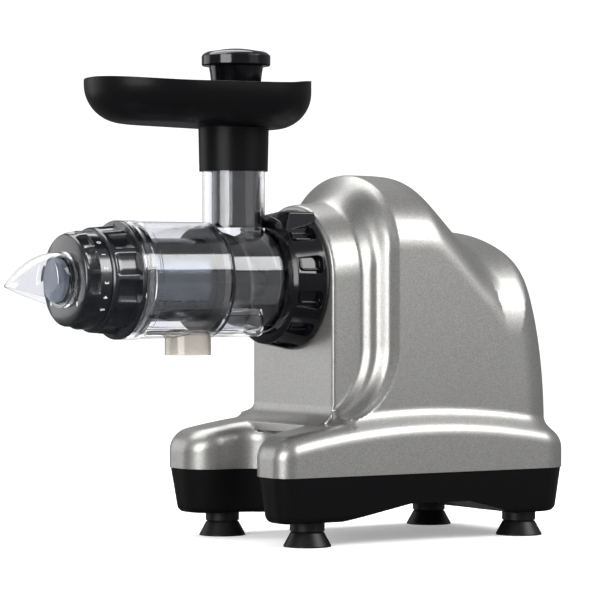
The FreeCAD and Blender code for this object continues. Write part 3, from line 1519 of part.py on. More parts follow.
def rocker(rear):
    """Rocker with two slanting faces, turning about a pin across the switch."""
    pivot_x = rear - 4.0
    reach = switch_half_height - loose_gap
    half = switch_half_width - loose_gap
    drum = Part.makeCylinder(reach, 2 * half, Vector(pivot_x, -half, switch_z), Y_AXIS)
    slope = math.tan(math.radians(rocker_turn))
    tip = rear + switch_rim_thickness + 3.4
    points = [Vector(pivot_x - 5, -half - 1, switch_z - reach - 1),
              Vector(tip, -half - 1, switch_z - reach - 1),
              Vector(tip - slope * reach, -half - 1, switch_z),
              Vector(tip, -half - 1, switch_z + reach + 1),
              Vector(pivot_x - 5, -half - 1, switch_z + reach + 1)]
    points.append(points[0])
    cutter = Part.Face(Part.makePolygon(points)).extrude(Vector(0, 2 * half + 2, 0))
    return solid_of(drum.common(cutter))


def make_inlet():
    rear = plan_rear_x
    rim = block(rear + seat_gap, rear + seat_gap + inlet_rim_thickness,
                -inlet_half_width - inlet_rim, inlet_half_width + inlet_rim,
                inlet_z - inlet_half_height - inlet_rim, inlet_z + inlet_half_height + inlet_rim)
    box = block(rear - inlet_depth, rear + seat_gap + 1, -inlet_half_width, inlet_half_width,
                inlet_z - inlet_half_height, inlet_z + inlet_half_height)
    face = rear + seat_gap + inlet_rim_thickness
    cavity = block(face - inlet_cavity_depth, face + 1, -inlet_cavity_half_width,
                   inlet_cavity_half_width, inlet_z - inlet_cavity_half_height,
                   inlet_z + inlet_cavity_half_height)
    holes = []
    pins = []
    for y, dz in ((-pin_spacing, -pin_rise), (0, pin_rise), (pin_spacing, -pin_rise)):
        z = inlet_z + dz
        slim = seat_gap / 2
        holes.append(block(rear - inlet_depth - 1, face, y - pin_width / 2 - slim,
                           y + pin_width / 2 + slim, z - pin_height / 2 - slim,
                           z + pin_height / 2 + slim))
        pins.append(block(rear - inlet_depth - 5, face - inlet_cavity_depth + pin_length,
                          y - pin_width / 2, y + pin_width / 2, z - pin_height / 2,
                          z + pin_height / 2))
    add("mains_inlet", solid_of(rim.fuse(box).cut([cavity] + holes).removeSplitter()))
    add("inlet_pins", Part.makeCompound(pins))


# All pieces

def build_all():
    add("base_pan", make_base_pan())
    add("upper_housing", make_upper_housing())
    for name, place in foot_places().items():
        add(name, make_foot(place[0], place[1]))
    add("base_screws", make_base_screws())
    add("bayonet_collar", make_bayonet_collar())
    add("collar_screws", make_collar_screws())
    add("lock_ring", make_lock_ring())
    add("drum_body", make_drum_body())
    add("drum_seal", make_drum_seal())
    add("juice_outlet", make_juice_outlet())
    add("juicing_screen", make_juicing_screen())
    add("screen_ring", make_screen_ring())
    add("auger", make_auger())
    add("auger_drive_insert", make_auger_insert())
    add("end_cap", make_end_cap())
    add("cap_seal", make_cap_seal())
    add("pressure_dial", make_pressure_dial())
    add("pulp_plug", make_pulp_plug())
    add("pulp_spout", make_pulp_spout())
    add("hopper_tray", make_hopper_tray())
    add("pusher_body", make_pusher_body())
    add("pusher_knob", make_pusher_knob())
    make_gearbox()
    make_gear_train()
    make_motor()
    make_rotor()
    add("motor_mount", make_motor_mount())
    make_capacitor()
    make_switch()
    make_inlet()


def export_all():
    """Move the machine so that the origin is under its middle, and write each piece."""
    front = spout_ring_rear_x - (spout_ring_rear_x - spout_tip_x) * spout_tip_share
    rear = plan_rear_x + seat_gap + inlet_rim_thickness
    shift = Vector(-(front + rear) / 2, 0, 0)
    os.makedirs("parts", exist_ok=True)
    for name, shape in pieces.items():
        shape.translate(shift)
        shape.exportStep("parts/" + name + ".step")
        volume = sum(s.Volume for s in shape.Solids)
        print(name, "solids", len(shape.Solids), "valid", shape.isValid(), "volume", round(volume))
    print("shift along X", round(shift.x, 3))


build_all()
export_all()
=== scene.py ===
import json
import math

import bpy
import numpy as np
from mathutils import Euler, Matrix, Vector


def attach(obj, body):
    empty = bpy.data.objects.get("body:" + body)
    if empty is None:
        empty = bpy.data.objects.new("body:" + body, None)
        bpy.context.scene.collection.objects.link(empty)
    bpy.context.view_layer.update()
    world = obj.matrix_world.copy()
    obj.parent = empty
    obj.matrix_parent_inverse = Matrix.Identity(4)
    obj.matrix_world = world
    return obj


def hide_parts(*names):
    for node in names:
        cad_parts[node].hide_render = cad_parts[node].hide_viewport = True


# Cold press juicer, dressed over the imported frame. Metres, +Z up, the auger axis runs along X.

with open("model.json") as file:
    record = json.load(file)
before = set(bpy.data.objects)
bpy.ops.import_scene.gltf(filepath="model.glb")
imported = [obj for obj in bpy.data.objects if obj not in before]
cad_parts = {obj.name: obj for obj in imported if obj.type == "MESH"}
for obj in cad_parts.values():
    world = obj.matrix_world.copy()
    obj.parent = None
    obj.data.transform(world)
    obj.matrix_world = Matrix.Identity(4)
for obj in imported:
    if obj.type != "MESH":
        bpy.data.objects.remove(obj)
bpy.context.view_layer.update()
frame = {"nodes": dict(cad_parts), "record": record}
print("frame loaded,", len(frame["nodes"]), "nodes")

# how the drawing's millimetre stations sit in the frame
drawing = {"shiftX": 94.3205, "axisZ": 205.6, "unit": 0.001}


def inFrame(points):
    moved = np.array(points, float).reshape(-1, 3)
    moved[:, 0] += drawing["shiftX"]
    return moved * drawing["unit"]


# the camera stands where the photograph was taken from
view = {"place": (-1.30531, -2.07021, 0.21422), "azimuth": -32.756, "pitch": 0.577, "lens": 186.0,
        "sensor": 36.0, "near": 0.05, "far": 60.0}


def makeCamera():
    lens = bpy.data.cameras.new("camera")
    lens.lens = view["lens"]
    lens.sensor_width = view["sensor"]
    lens.clip_start = view["near"]
    lens.clip_end = view["far"]
    cam = bpy.data.objects.new("camera", lens)
    bpy.context.scene.collection.objects.link(cam)
    cam.location = view["place"]
    cam.rotation_euler = Euler((math.radians(90 - view["pitch"]), 0, math.radians(view["azimuth"])), "XYZ")
    bpy.context.scene.camera = cam
    bpy.context.scene.view_settings.view_transform = "Standard"


makeCamera()
print("camera placed")


# nodes of both kinds of tree: each input is linked to the socket, or set to the plain value, given for it
def addNode(tree, kind, values=None, **settings):
    node = tree.nodes.new(kind)
    for key, value in settings.items():
        setattr(node, key, value)
    for key, value in (values or {}).items():
        if isinstance(value, bpy.types.NodeSocket):
            tree.links.new(value, node.inputs[key])
        else:
            node.inputs[key].default_value = value
    return node


def mathNode(tree, operation, a, b=0.0, c=0.0, clamp=False):
    values = {0: a, 1: b, 2: c}
    return addNode(tree, "ShaderNodeMath", values, operation=operation, use_clamp=clamp).outputs[0]


def mixColors(tree, share, first, second):
    # a mix node takes its two colours on inputs 6 and 7 and gives the mixed one on output 2
    return addNode(tree, "ShaderNodeMix", {0: share, 6: first, 7: second}, data_type="RGBA").outputs[2]


# shader groups shared by the finishes, and how fine and how strong their noises are
texture = {"grainDetail": 3.0, "pitShare": 0.5, "glossDetail": 5.0, "glossRoughness": 0.62, "middle": 0.5,
           "dustDetail": 6.0, "dustPower": 3.0}


def newGroup(name, inputs, outputs):
    group = bpy.data.node_groups.new(name, "ShaderNodeTree")
    for label, kind in {"Vector": "NodeSocketVector", "Scale": "NodeSocketFloat", **inputs}.items():
        group.interface.new_socket(label, in_out="INPUT", socket_type=kind)
    for label, kind in outputs.items():
        group.interface.new_socket(label, in_out="OUTPUT", socket_type=kind)
    return group, group.nodes.new("NodeGroupInput"), group.nodes.new("NodeGroupOutput")


def pattern(group, start, kind, **values):
    place = {"Vector": start.outputs["Vector"], "Scale": start.outputs["Scale"]}
    return addNode(group, kind, {**place, **values})


def mouldGrainGroup():
    # fine spark-eroded grain of moulded plastic, as a height
    group, start, end = newGroup("mouldGrain", {}, {"Height": "NodeSocketFloat"})
    coarse = pattern(group, start, "ShaderNodeTexNoise", Detail=texture["grainDetail"])
    fine = pattern(group, start, "ShaderNodeTexVoronoi")
    pits = mathNode(group, "MULTIPLY", fine.outputs["Distance"], texture["pitShare"])
    group.links.new(mathNode(group, "ADD", pits, coarse.outputs["Fac"]), end.inputs["Height"])
    return group


def handledGroup():
    # slow changes of gloss from handling: a value around Base, spread by Spread
    group, start, end = newGroup("handledGloss", {"Base": "NodeSocketFloat", "Spread": "NodeSocketFloat"},
                                 {"Roughness": "NodeSocketFloat", "Mask": "NodeSocketFloat"})
    noise = pattern(group, start, "ShaderNodeTexNoise", Detail=texture["glossDetail"],
                    Roughness=texture["glossRoughness"])
    centred = mathNode(group, "SUBTRACT", noise.outputs["Fac"], texture["middle"])
    spread = mathNode(group, "MULTIPLY", centred, start.outputs["Spread"])
    value = mathNode(group, "ADD", spread, start.outputs["Base"], clamp=True)
    group.links.new(value, end.inputs["Roughness"])
    group.links.new(noise.outputs["Fac"], end.inputs["Mask"])
    return group


def flakeGroup():
    # metal flakes under the lacquer: each cell a little lighter or darker, with its own tilt
    group, start, end = newGroup(
        "metalFlake", {"Dark": "NodeSocketColor", "Light": "NodeSocketColor", "Tilt": "NodeSocketFloat"},
        {"Color": "NodeSocketColor", "Normal": "NodeSocketVector"})
    cells = pattern(group, start, "ShaderNodeTexVoronoi")
    parts = addNode(group, "ShaderNodeSeparateColor", {"Color": cells.outputs["Color"]})
    shade = mixColors(group, parts.outputs["Red"], start.outputs["Dark"], start.outputs["Light"])
    group.links.new(shade, end.inputs["Color"])
    centred = addNode(group, "ShaderNodeVectorMath", {0: cells.outputs["Color"], 1: [texture["middle"]] * 3},
                      operation="SUBTRACT")
    tilted = addNode(group, "ShaderNodeVectorMath", {0: centred.outputs[0], "Scale": start.outputs["Tilt"]},
                     operation="SCALE")
    surface = addNode(group, "ShaderNodeNewGeometry")
    added = addNode(group, "ShaderNodeVectorMath", {0: surface.outputs["Normal"], 1: tilted.outputs[0]},
                    operation="ADD")
    unit = addNode(group, "ShaderNodeVectorMath", {0: added.outputs[0]}, operation="NORMALIZE")
    group.links.new(unit.outputs[0], end.inputs["Normal"])
    return group


def dustGroup():
    # thin dust that settles where a surface faces up, broken by noise, as a mask
    group, start, end = newGroup("settledDust", {"Amount": "NodeSocketFloat"}, {"Mask": "NodeSocketFloat"})
    surface = addNode(group, "ShaderNodeNewGeometry")
    axes = addNode(group, "ShaderNodeSeparateXYZ", {0: surface.outputs["Normal"]})
    noise = pattern(group, start, "ShaderNodeTexNoise", Detail=texture["dustDetail"])
    up = mathNode(group, "MAXIMUM", axes.outputs["Z"], 0.0)
    settled = mathNode(group, "POWER", up, texture["dustPower"])
    mask = mathNode(group, "MULTIPLY", settled, noise.outputs["Fac"])
    amount = mathNode(group, "MULTIPLY", mask, start.outputs["Amount"], clamp=True)
    group.links.new(amount, end.inputs["Mask"])
    return group


groups = {"grain": mouldGrainGroup(), "gloss": handledGroup(), "flake": flakeGroup(), "dust": dustGroup()}
print("shader groups built")


# colour, gloss and grain of each finish
plastics = {
    "gloss_black": {"color": (0.003, 0.003, 0.004), "gloss": 0.12, "spread": 0.05, "grain": 700,
                    "depth": 0.000006, "specular": 0.45, "coat": 0.15, "dust": 0.008, "edge": 0.0008},
    "satin_black": {"color": (0.003, 0.003, 0.0035), "gloss": 0.34, "spread": 0.08, "grain": 1100,
                    "depth": 0.00002, "specular": 0.12, "coat": 0.0, "dust": 0.01, "edge": 0.0008},
    "pusher_gloss": {"color": (0.003, 0.003, 0.004), "gloss": 0.09, "spread": 0.04, "grain": 600,
                     "depth": 0.000004, "specular": 0.4, "coat": 0.35, "dust": 0.005, "edge": 0.0006},
    "rubber_black": {"color": (0.004, 0.004, 0.0045), "gloss": 0.40, "spread": 0.16, "grain": 1400,
                     "depth": 0.00004, "specular": 0.3, "coat": 0.0, "dust": 0.03, "edge": 0.0004},
    "charcoal_plastic": {"color": (0.006, 0.0066, 0.0085), "gloss": 0.21, "spread": 0.06, "grain": 1500,
                         "depth": 0.000015, "specular": 0.85, "coat": 0.25, "dust": 0.015, "edge": 0.0007},
    "slate_plastic": {"color": (0.09, 0.11, 0.14), "gloss": 0.30, "spread": 0.1, "grain": 1200,
                      "depth": 0.00002, "specular": 0.5, "coat": 0.0, "dust": 0.02, "edge": 0.0005},
    "dark_plastic": {"color": (0.016, 0.016, 0.02), "gloss": 0.36, "spread": 0.1, "grain": 1100,
                     "depth": 0.00003, "specular": 0.4, "coat": 0.0, "dust": 0.02, "edge": 0.0004},
}

metals = {
    "zinc_steel": {"color": (0.62, 0.62, 0.60), "gloss": 0.34, "spread": 0.14, "grain": 260},
    "screen_steel": {"color": (0.04, 0.046, 0.06), "gloss": 0.24, "spread": 0.12, "grain": 700},
    "cast_aluminium": {"color": (0.56, 0.56, 0.57), "gloss": 0.52, "spread": 0.2, "grain": 120},
    "bronze": {"color": (0.58, 0.38, 0.18), "gloss": 0.38, "spread": 0.16, "grain": 300},
    "core_steel": {"color": (0.30, 0.30, 0.32), "gloss": 0.46, "spread": 0.16, "grain": 900},
    "copper_wire": {"color": (0.70, 0.34, 0.16), "gloss": 0.34, "spread": 0.12, "grain": 1200},
    "gear_steel": {"color": (0.46, 0.45, 0.44), "gloss": 0.36, "spread": 0.14, "grain": 420},
}

clears = {
    "clear_plastic": {"color": (0.90, 0.905, 0.93), "gloss": 0.035, "spread": 0.05, "transmission": 1.0,
                      "ior": 1.47},
    "milky_plastic": {"color": (0.62, 0.585, 0.53), "gloss": 0.13, "spread": 0.10, "transmission": 0.7,
                      "ior": 1.46},
}

paint = {"dark": (0.275, 0.272, 0.262), "light": (0.415, 0.412, 0.40), "metallic": 0.85, "gloss": 0.38,
         "spread": 0.04, "glossScale": 9.0, "coat": 0.35, "coatGloss": 0.13, "flakes": 2100, "tilt": 0.035}

ink = {"color": (0.62, 0.62, 0.61), "gloss": 0.45, "spread": 0.2}

# what all finishes of one kind share; darker is how much of the colour is left where the mask is low
shared = {"plastic": {"glossScale": 22.0, "dustScale": 70.0, "dustColor": (0.30, 0.29, 0.28, 1), "bump": 0.5,
                      "edgeSamples": 4, "coatGloss": 0.08},
          "metal": {"glossScale": 60.0, "darker": 0.8, "bump": 0.4, "depth": 0.00002},
          "clear": {"glossScale": 35.0, "darker": 0.96, "specular": 0.85},
          "ink": {"glossScale": 120.0, "darker": 0.82}}


def newFinish(name):
    made = bpy.data.materials.new(name)
    made.use_nodes = True
    tree = made.node_tree
    coords = tree.nodes.new("ShaderNodeTexCoord")
    return made, tree, tree.nodes["Principled BSDF"], coords.outputs["Object"]


def useGroup(tree, key, vector, **values):
    node = addNode(tree, "ShaderNodeGroup", {"Vector": vector, **values}, node_tree=groups[key])
    return node.outputs


def bumpFrom(tree, height, strength, distance):
    return addNode(tree, "ShaderNodeBump", {"Height": height, "Strength": strength, "Distance": distance})


def plasticFinish(name, look):
    common = shared["plastic"]
    made, tree, shader, coords = newFinish(name)
    gloss = useGroup(tree, "gloss", coords, Scale=common["glossScale"], Base=look["gloss"],
                     Spread=look["spread"])
    grain = useGroup(tree, "grain", coords, Scale=look["grain"])
    dust = useGroup(tree, "dust", coords, Scale=common["dustScale"], Amount=look["dust"])
    color = mixColors(tree, dust["Mask"], (*look["color"], 1), common["dustColor"])
    tree.links.new(color, shader.inputs["Base Color"])
    tree.links.new(gloss["Roughness"], shader.inputs["Roughness"])
    rounded = addNode(tree, "ShaderNodeBevel", {"Radius": look["edge"]}, samples=common["edgeSamples"])
    bump = bumpFrom(tree, grain["Height"], common["bump"], look["depth"])
    tree.links.new(rounded.outputs["Normal"], bump.inputs["Normal"])
    tree.links.new(bump.outputs["Normal"], shader.inputs["Normal"])
    shader.inputs["Specular IOR Level"].default_value = look["specular"]
    shader.inputs["Coat Weight"].default_value = look["coat"]
    shader.inputs["Coat Roughness"].default_value = common["coatGloss"]
    return made


def tintedFinish(name, look, common):
    # colour and gloss that change together, slowly, over the surface
    made, tree, shader, coords = newFinish(name)
    gloss = useGroup(tree, "gloss", coords, Scale=common["glossScale"], Base=look["gloss"],
                     Spread=look["spread"])
    darker = [c * common["darker"] for c in look["color"]]
    tint = mixColors(tree, gloss["Mask"], (*darker, 1), (*look["color"], 1))
    tree.links.new(tint, shader.inputs["Base Color"])
    tree.links.new(gloss["Roughness"], shader.inputs["Roughness"])
    return made, tree, shader, coords


def metalFinish(name, look):
    common = shared["metal"]
    made, tree, shader, coords = tintedFinish(name, look, common)
    grain = useGroup(tree, "grain", coords, Scale=look["grain"])
    bump = bumpFrom(tree, grain["Height"], common["bump"], common["depth"])
    tree.links.new(bump.outputs["Normal"], shader.inputs["Normal"])
    shader.inputs["Metallic"].default_value = 1.0
    return made


def clearFinish(name, look):
    common = shared["clear"]
    made, _, shader, _ = tintedFinish(name, look, common)
    shader.inputs["Transmission Weight"].default_value = look["transmission"]
    shader.inputs["Specular IOR Level"].default_value = common["specular"]
    shader.inputs["IOR"].default_value = look["ior"]
    return made


def paintFinish(name, look):
    made, tree, shader, coords = newFinish(name)
    flake = useGroup(tree, "flake", coords, Scale=look["flakes"], Dark=(*look["dark"], 1),
                     Light=(*look["light"], 1), Tilt=look["tilt"])
    gloss = useGroup(tree, "gloss", coords, Scale=look["glossScale"], Base=look["gloss"],
                     Spread=look["spread"])
    tree.links.new(flake["Color"], shader.inputs["Base Color"])
    tree.links.new(gloss["Roughness"], shader.inputs["Roughness"])
    tree.links.new(flake["Normal"], shader.inputs["Normal"])
    shader.inputs["Metallic"].default_value = look["metallic"]
    shader.inputs["Coat Weight"].default_value = look["coat"]
    shader.inputs["Coat Roughness"].default_value = look["coatGloss"]
    return made


finish = {"silver_paint": paintFinish("silver_paint", paint)}
finish.update({name: plasticFinish(name, look) for name, look in plastics.items()})
finish.update({name: metalFinish(name, look) for name, look in metals.items()})
finish.update({name: clearFinish(name, look) for name, look in clears.items()})
finish["white_ink"] = tintedFinish("white_ink", ink, shared["ink"])[0]
print("finishes built:", len(finish))


# nodes whose look differs from that of their material slot
ownFinish = {"base_pan": "satin_black", "hopper_tray": "satin_black", "pusher_body": "pusher_gloss"}


def dressNodes():
    slots = {row["node"]: row["material_slot"] for row in frame["record"]["subparts"]}
    for name, node in frame["nodes"].items():
        node.data.materials.clear()
        node.data.materials.append(finish[ownFinish.get(name, slots[name])])


dressNodes()
print("nodes dressed")


# a new piece: its mesh and finish and the body it rides; the slot name stands in for the finish when none is
# given
def meshPiece(name, points, faces, body, slotName, finishName=None, smooth=True):
    mesh = bpy.data.meshes.new(name)
    mesh.from_pydata([tuple(p) for p in points], [], [tuple(int(i) for i in f) for f in faces])
    mesh.validate()
    mesh.polygons.foreach_set("use_smooth", [smooth] * len(mesh.polygons))
    mesh.materials.append(finish[finishName or slotName])
    piece = bpy.data.objects.new(name, mesh)
    bpy.context.scene.collection.objects.link(piece)
    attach(piece, body)
    return piece


# geometry node trees, each with its sizes as named inputs, and the plain mesh that one leaves
def growTree(name, sizes, seeded=False):
    tree = bpy.data.node_groups.new(name, "GeometryNodeTree")
    if seeded:
        tree.interface.new_socket("Geometry", in_out="INPUT", socket_type="NodeSocketGeometry")
    for label, value in {**sizes, "Axis Height": 0.0}.items():
        kind = "NodeSocketInt" if isinstance(value, int) else "NodeSocketFloat"
        tree.interface.new_socket(label, in_out="INPUT", socket_type=kind)
    tree.interface.new_socket("Geometry", in_out="OUTPUT", socket_type="NodeSocketGeometry")
    return tree, tree.nodes.new("NodeGroupInput").outputs, tree.nodes.new("NodeGroupOutput")


def dressTree(tree, end, geometry, finishName):
    dressed = addNode(tree, "GeometryNodeSetMaterial", {"Geometry": geometry, "Material": finish[finishName]})
    tree.links.new(dressed.outputs[0], end.inputs[0])


def roundAxis(tree, value, end, item, finishName):
    # places one item again and again by turning it about the long axis of the drum
    line = addNode(tree, "GeometryNodeMeshLine", {"Count": value["Count"], "Offset": (0, 0, 0)})
    order = addNode(tree, "GeometryNodeInputIndex")
    turned = mathNode(tree, "MULTIPLY", order.outputs[0], value["Step"])
    angle = mathNode(tree, "ADD", turned, value["First"])
    spin = addNode(tree, "ShaderNodeCombineXYZ", {"X": angle})
    placed = addNode(tree, "GeometryNodeInstanceOnPoints",
                     {"Points": line.outputs[0], "Instance": item, "Rotation": spin.outputs[0]})
    real = addNode(tree, "GeometryNodeRealizeInstances", {0: placed.outputs[0]})
    lift = addNode(tree, "ShaderNodeCombineXYZ", {"X": value["Station"], "Z": value["Axis Height"]})
    moved = addNode(tree, "GeometryNodeTransform",
                    {"Geometry": real.outputs[0], "Translation": lift.outputs[0]})
    smooth = addNode(tree, "GeometryNodeSetShadeSmooth", {0: moved.outputs[0]})
    dressTree(tree, end, smooth.outputs[0], finishName)


def inMetres(sizes):
    # lengths go to metres and stations to the frame, while counts, angles and shares stay
    stay = ("Count", "First", "Step", "Corner Steps", "Bead Sides", "Flutes", "Fullness")
    scaled = {key: value if key in stay else value * drawing["unit"] for key, value in sizes.items()}
    for key in ("Station", "Front", "Rear"):
        if key in scaled:
            scaled[key] += drawing["shiftX"] * drawing["unit"]
    scaled["Axis Height"] = drawing["axisZ"] * drawing["unit"]
    return scaled


def growPiece(tree, values, name, body, slotName, finishName, seed=((), ())):
    start = bpy.data.meshes.new(name + "_seed")
    start.from_pydata([tuple(p) for p in seed[0]], [], [tuple(f) for f in seed[1]])
    holder = bpy.data.objects.new(name + "_seed", start)
    bpy.context.scene.collection.objects.link(holder)
    modifier = holder.modifiers.new("grow", "NODES")
    modifier.node_group = tree
    for socket in tree.interface.items_tree:
        if socket.in_out == "INPUT" and socket.name in values:
            modifier[socket.identifier] = values[socket.name]
    bpy.context.view_layer.update()
    grown = bpy.data.meshes.new_from_object(holder.evaluated_get(bpy.context.evaluated_depsgraph_get()))
    holder.modifiers.remove(modifier)
    bpy.data.objects.remove(holder)
    points = [v.co.copy() for v in grown.vertices]
    faces = [list(p.vertices) for p in grown.polygons]
    bpy.data.meshes.remove(grown)
    print(name, "grown:", len(faces), "faces")
    return meshPiece(name, points, faces, body, slotName, finishName)


# raised frames in the pockets of the lock ring
pocketFrames = {"Count": 12, "First": math.radians(13.0), "Step": math.radians(30.0), "Station": -88.6,
                "Radius": 49.2, "Length": 18.4, "Width": 13.0, "Corner": 2.4, "Corner Steps": 5,
                "Bead": 1.15, "Bead Sides": 8}


def beadAlong(tree, value, curve, capped=False):
    bead = addNode(tree, "GeometryNodeCurvePrimitiveCircle",
                   {"Resolution": value["Bead Sides"], "Radius": value["Bead"]})
    rail = addNode(tree, "GeometryNodeCurveToMesh",
                   {"Curve": curve, "Profile Curve": bead.outputs[0], "Fill Caps": capped})
    return rail.outputs[0]


def frameTree():
    tree, value, end = growTree("pocketFrames", pocketFrames)
    shape = addNode(tree, "GeometryNodeCurvePrimitiveQuadrilateral",
                    {"Width": value["Length"], "Height": value["Width"]})
    rounded = addNode(tree, "GeometryNodeFilletCurve",
                      {"Curve": shape.outputs[0], "Radius": value["Corner"], "Count": value["Corner Steps"]},
                      mode="POLY")
    rail = beadAlong(tree, value, rounded.outputs[0])
    out = addNode(tree, "ShaderNodeCombineXYZ", {"Z": value["Radius"]})
    raised = addNode(tree, "GeometryNodeTransform", {"Geometry": rail, "Translation": out.outputs[0]})
    roundAxis(tree, value, end, raised.outputs[0], "gloss_black")
    return tree


growPiece(frameTree(), inMetres(pocketFrames), "ring_pocket_frames", "lock_ring", "gloss_black",
          "gloss_black")


# thin ribs that carry the juice along the floor of the drum
troughRibs = {"Count": 9, "First": math.radians(154.0), "Step": math.radians(6.5), "Station": -178.0,
              "Radius": 42.4, "Length": 82.0, "Bead": 0.55, "Bead Sides": 8}


def ribTree():
    tree, value, end = growTree("troughRibs", troughRibs)
    ends = []
    for share in (-0.5, 0.5):
        along = mathNode(tree, "MULTIPLY", value["Length"], share)
        ends.append(addNode(tree, "ShaderNodeCombineXYZ", {"X": along, "Z": value["Radius"]}).outputs[0])
    run = addNode(tree, "GeometryNodeCurvePrimitiveLine", {"Start": ends[0], "End": ends[1]})
    roundAxis(tree, value, end, beadAlong(tree, value, run.outputs[0], True), "clear_plastic")
    return tree


growPiece(ribTree(), inMetres(troughRibs), "drum_floor_ribs", "machine", "clear_plastic", "clear_plastic")
print("repeated pieces grown")


# scooped grips of the end cap and the pressure dial: a turned body, scooped by rule all the way round
capGrip = {"Flutes": 12, "First": math.radians(12.0), "Half Width": 8.9, "Depth": 2.9, "Front": -255.2,
           "Front Round": 5.0, "Rear": -237.1, "Least Radius": 38.6, "Fullness": 2.6}
dialGrip = {"Flutes": 12, "First": math.radians(5.0), "Half Width": 8.0, "Depth": 2.4, "Front": -277.6,
            "Front Round": 4.0, "Rear": -268.6, "Least Radius": 30.0, "Fullness": 2.6}

# stations and radii of the end cap and the dial; frontEdge steps back and inward, faceEdge back and outward
capForm = {"rear": -233.5, "sleeveEnd": -223.5, "flangeFront": -236.2, "frontX": -258.8, "noseX": -283.0,
           "noseRadius": 18.4, "noseBore": 17.1, "grip": 41.9, "flange": 45.7, "sleeveBore": 37.9,
           "frontEdge": ((0.0, 3.6), (0.6, 2.6), (1.8, 1.7)), "flangeRise": (1.6, 0.3), "flangeEdge": 0.5,
           "sleeveEdge": 0.4, "floor": (6.0, 1.0), "frontWall": 3.0, "groove": (1.2, 4.0, 39.7),
           "hub": (-266.0, -240.0, 8.0, 4.3), "hubEdge": 0.4, "nose": (-245.0, 5.2), "thirds": 3,
           "lug": (-227.5, 3.2, 1.9, 22.0), "lugRoot": 0.5, "rib": 3.0, "ribMiddle": 12.5,
           "ribSetback": (4.0, 1.0), "ribLap": (1.0, 0.4)}
dialForm = {"faceX": -280.0, "rearX": -259.2, "bandX": -268.6, "bore": 18.9, "face": 33.9, "radius": 37.6,
            "faceEdge": ((0.0, 0.0), (0.3, 0.6), (0.9, 1.1)), "slopeStart": (5.0, 1.0)}

# how finely the shells are cut: outlines further out than fineFrom get points at most span apart
cutting = {"around": 360, "span": 0.9, "fineFrom": 25.0, "hubAround": 64, "lugAround": 10, "ribAround": 4,
           "lugSpan": 4.0, "sharpAngle": 32.0}


def turnedShell(outline, steps=cutting["around"], firstAngle=0.0, lastAngle=360.0, span=cutting["span"]):
    # a closed outline of stations and radii, cut fine and turned about the drum's axis
    fine = []
    for (x0, r0), (x1, r1) in zip(outline, outline[1:] + outline[:1]):
        length = math.hypot(x1 - x0, r1 - r0)
        parts = max(1, math.ceil(length / span)) if min(r0, r1) > cutting["fineFrom"] else 1
        fine += [(x0 + (x1 - x0) * k / parts, r0 + (r1 - r0) * k / parts) for k in range(parts)]
    count = len(fine)
    whole = lastAngle - firstAngle >= 360
    rows = steps if whole else steps + 1
    points, faces = [], []
    for row in range(rows):
        turn = math.radians(firstAngle + (lastAngle - firstAngle) * row / steps)
        points += [(x, -r * math.sin(turn), drawing["axisZ"] + r * math.cos(turn)) for x, r in fine]
    for row in range(steps):
        here, there = row * count, (row + 1) % rows * count
        faces += [(here + k, here + (k + 1) % count, there + (k + 1) % count, there + k)
                  for k in range(count)]
    if not whole:
        faces += [tuple(range(count))[::-1], tuple(range((rows - 1) * count, rows * count))]
    return points, faces


def joinShells(shells):
    points, faces = [], []
    for shellPoints, shellFaces in shells:
        start = len(points)
        points += shellPoints
        faces += [tuple(start + k for k in face) for face in shellFaces]
    return points, faces


def capOutline():
    c = capForm
    front, rear, end, flangeX = c["frontX"], c["rear"], c["sleeveEnd"], c["flangeFront"]
    grip, flange, edge = c["grip"], c["flange"], c["flangeEdge"]
    foot, lean = c["flangeRise"]
    groove0, groove1, grooveRadius = c["groove"]
    floorBack, floorIn = c["floor"]
    outline = [(c["noseX"], c["noseBore"]), (c["noseX"], c["noseRadius"]), (front, c["noseRadius"])]
    outline += [(front + back, grip - below) for back, below in c["frontEdge"]]
    outline += [(flangeX - foot, grip), (flangeX - lean, flange - edge), (flangeX + edge, flange),
                (rear - edge, flange), (rear, flange - edge), (rear, grip), (rear + groove0, grip),
                (rear + groove0, grooveRadius), (rear + groove1, grooveRadius), (rear + groove1, grip)]
    return outline + [(end - c["sleeveEdge"], grip), (end, grip - c["sleeveEdge"]), (end, c["sleeveBore"]),
                      (rear - floorBack, c["sleeveBore"] - floorIn), (front + c["frontWall"], c["noseBore"])]


def capShells():
    c = capForm
    hubFront, hubRear, hubRadius, hubBore = c["hub"]
    noseX, noseRadius = c["nose"]
    hub = [(hubFront, hubBore), (hubFront, hubRadius - c["hubEdge"]), (hubFront + c["hubEdge"], hubRadius),
           (hubRear, hubRadius), (hubRear, noseRadius), (noseX, noseRadius), (noseX, hubBore)]
    lugX, lugLength, lugHeight, lugAngle = c["lug"]
    low, high = c["grip"] - c["lugRoot"], c["grip"] + lugHeight
    lug = [(lugX, low), (lugX, high), (lugX + lugLength, high), (lugX + lugLength, low)]
    ribFront, ribRear = hubFront + c["ribSetback"][0], c["frontX"] - c["ribSetback"][1]
    inner, outer = hubRadius - c["ribLap"][0], c["noseBore"] + c["ribLap"][1]
    rib = [(ribFront, inner), (ribFront, outer), (ribRear, outer), (ribRear, inner)]
    shells = [turnedShell(capOutline()), turnedShell(hub, cutting["hubAround"])]
    ribAngle = 2 * math.degrees(c["rib"] / 2 / c["ribMiddle"])
    for k in range(c["thirds"]):
        middle = 360 / c["thirds"] * k
        for form, key, angle in ((lug, "lugAround", lugAngle), (rib, "ribAround", ribAngle)):
            first, last = middle - angle / 2, middle + angle / 2
            shells.append(turnedShell(form, cutting[key], first, last, cutting["lugSpan"]))
    return joinShells(shells)


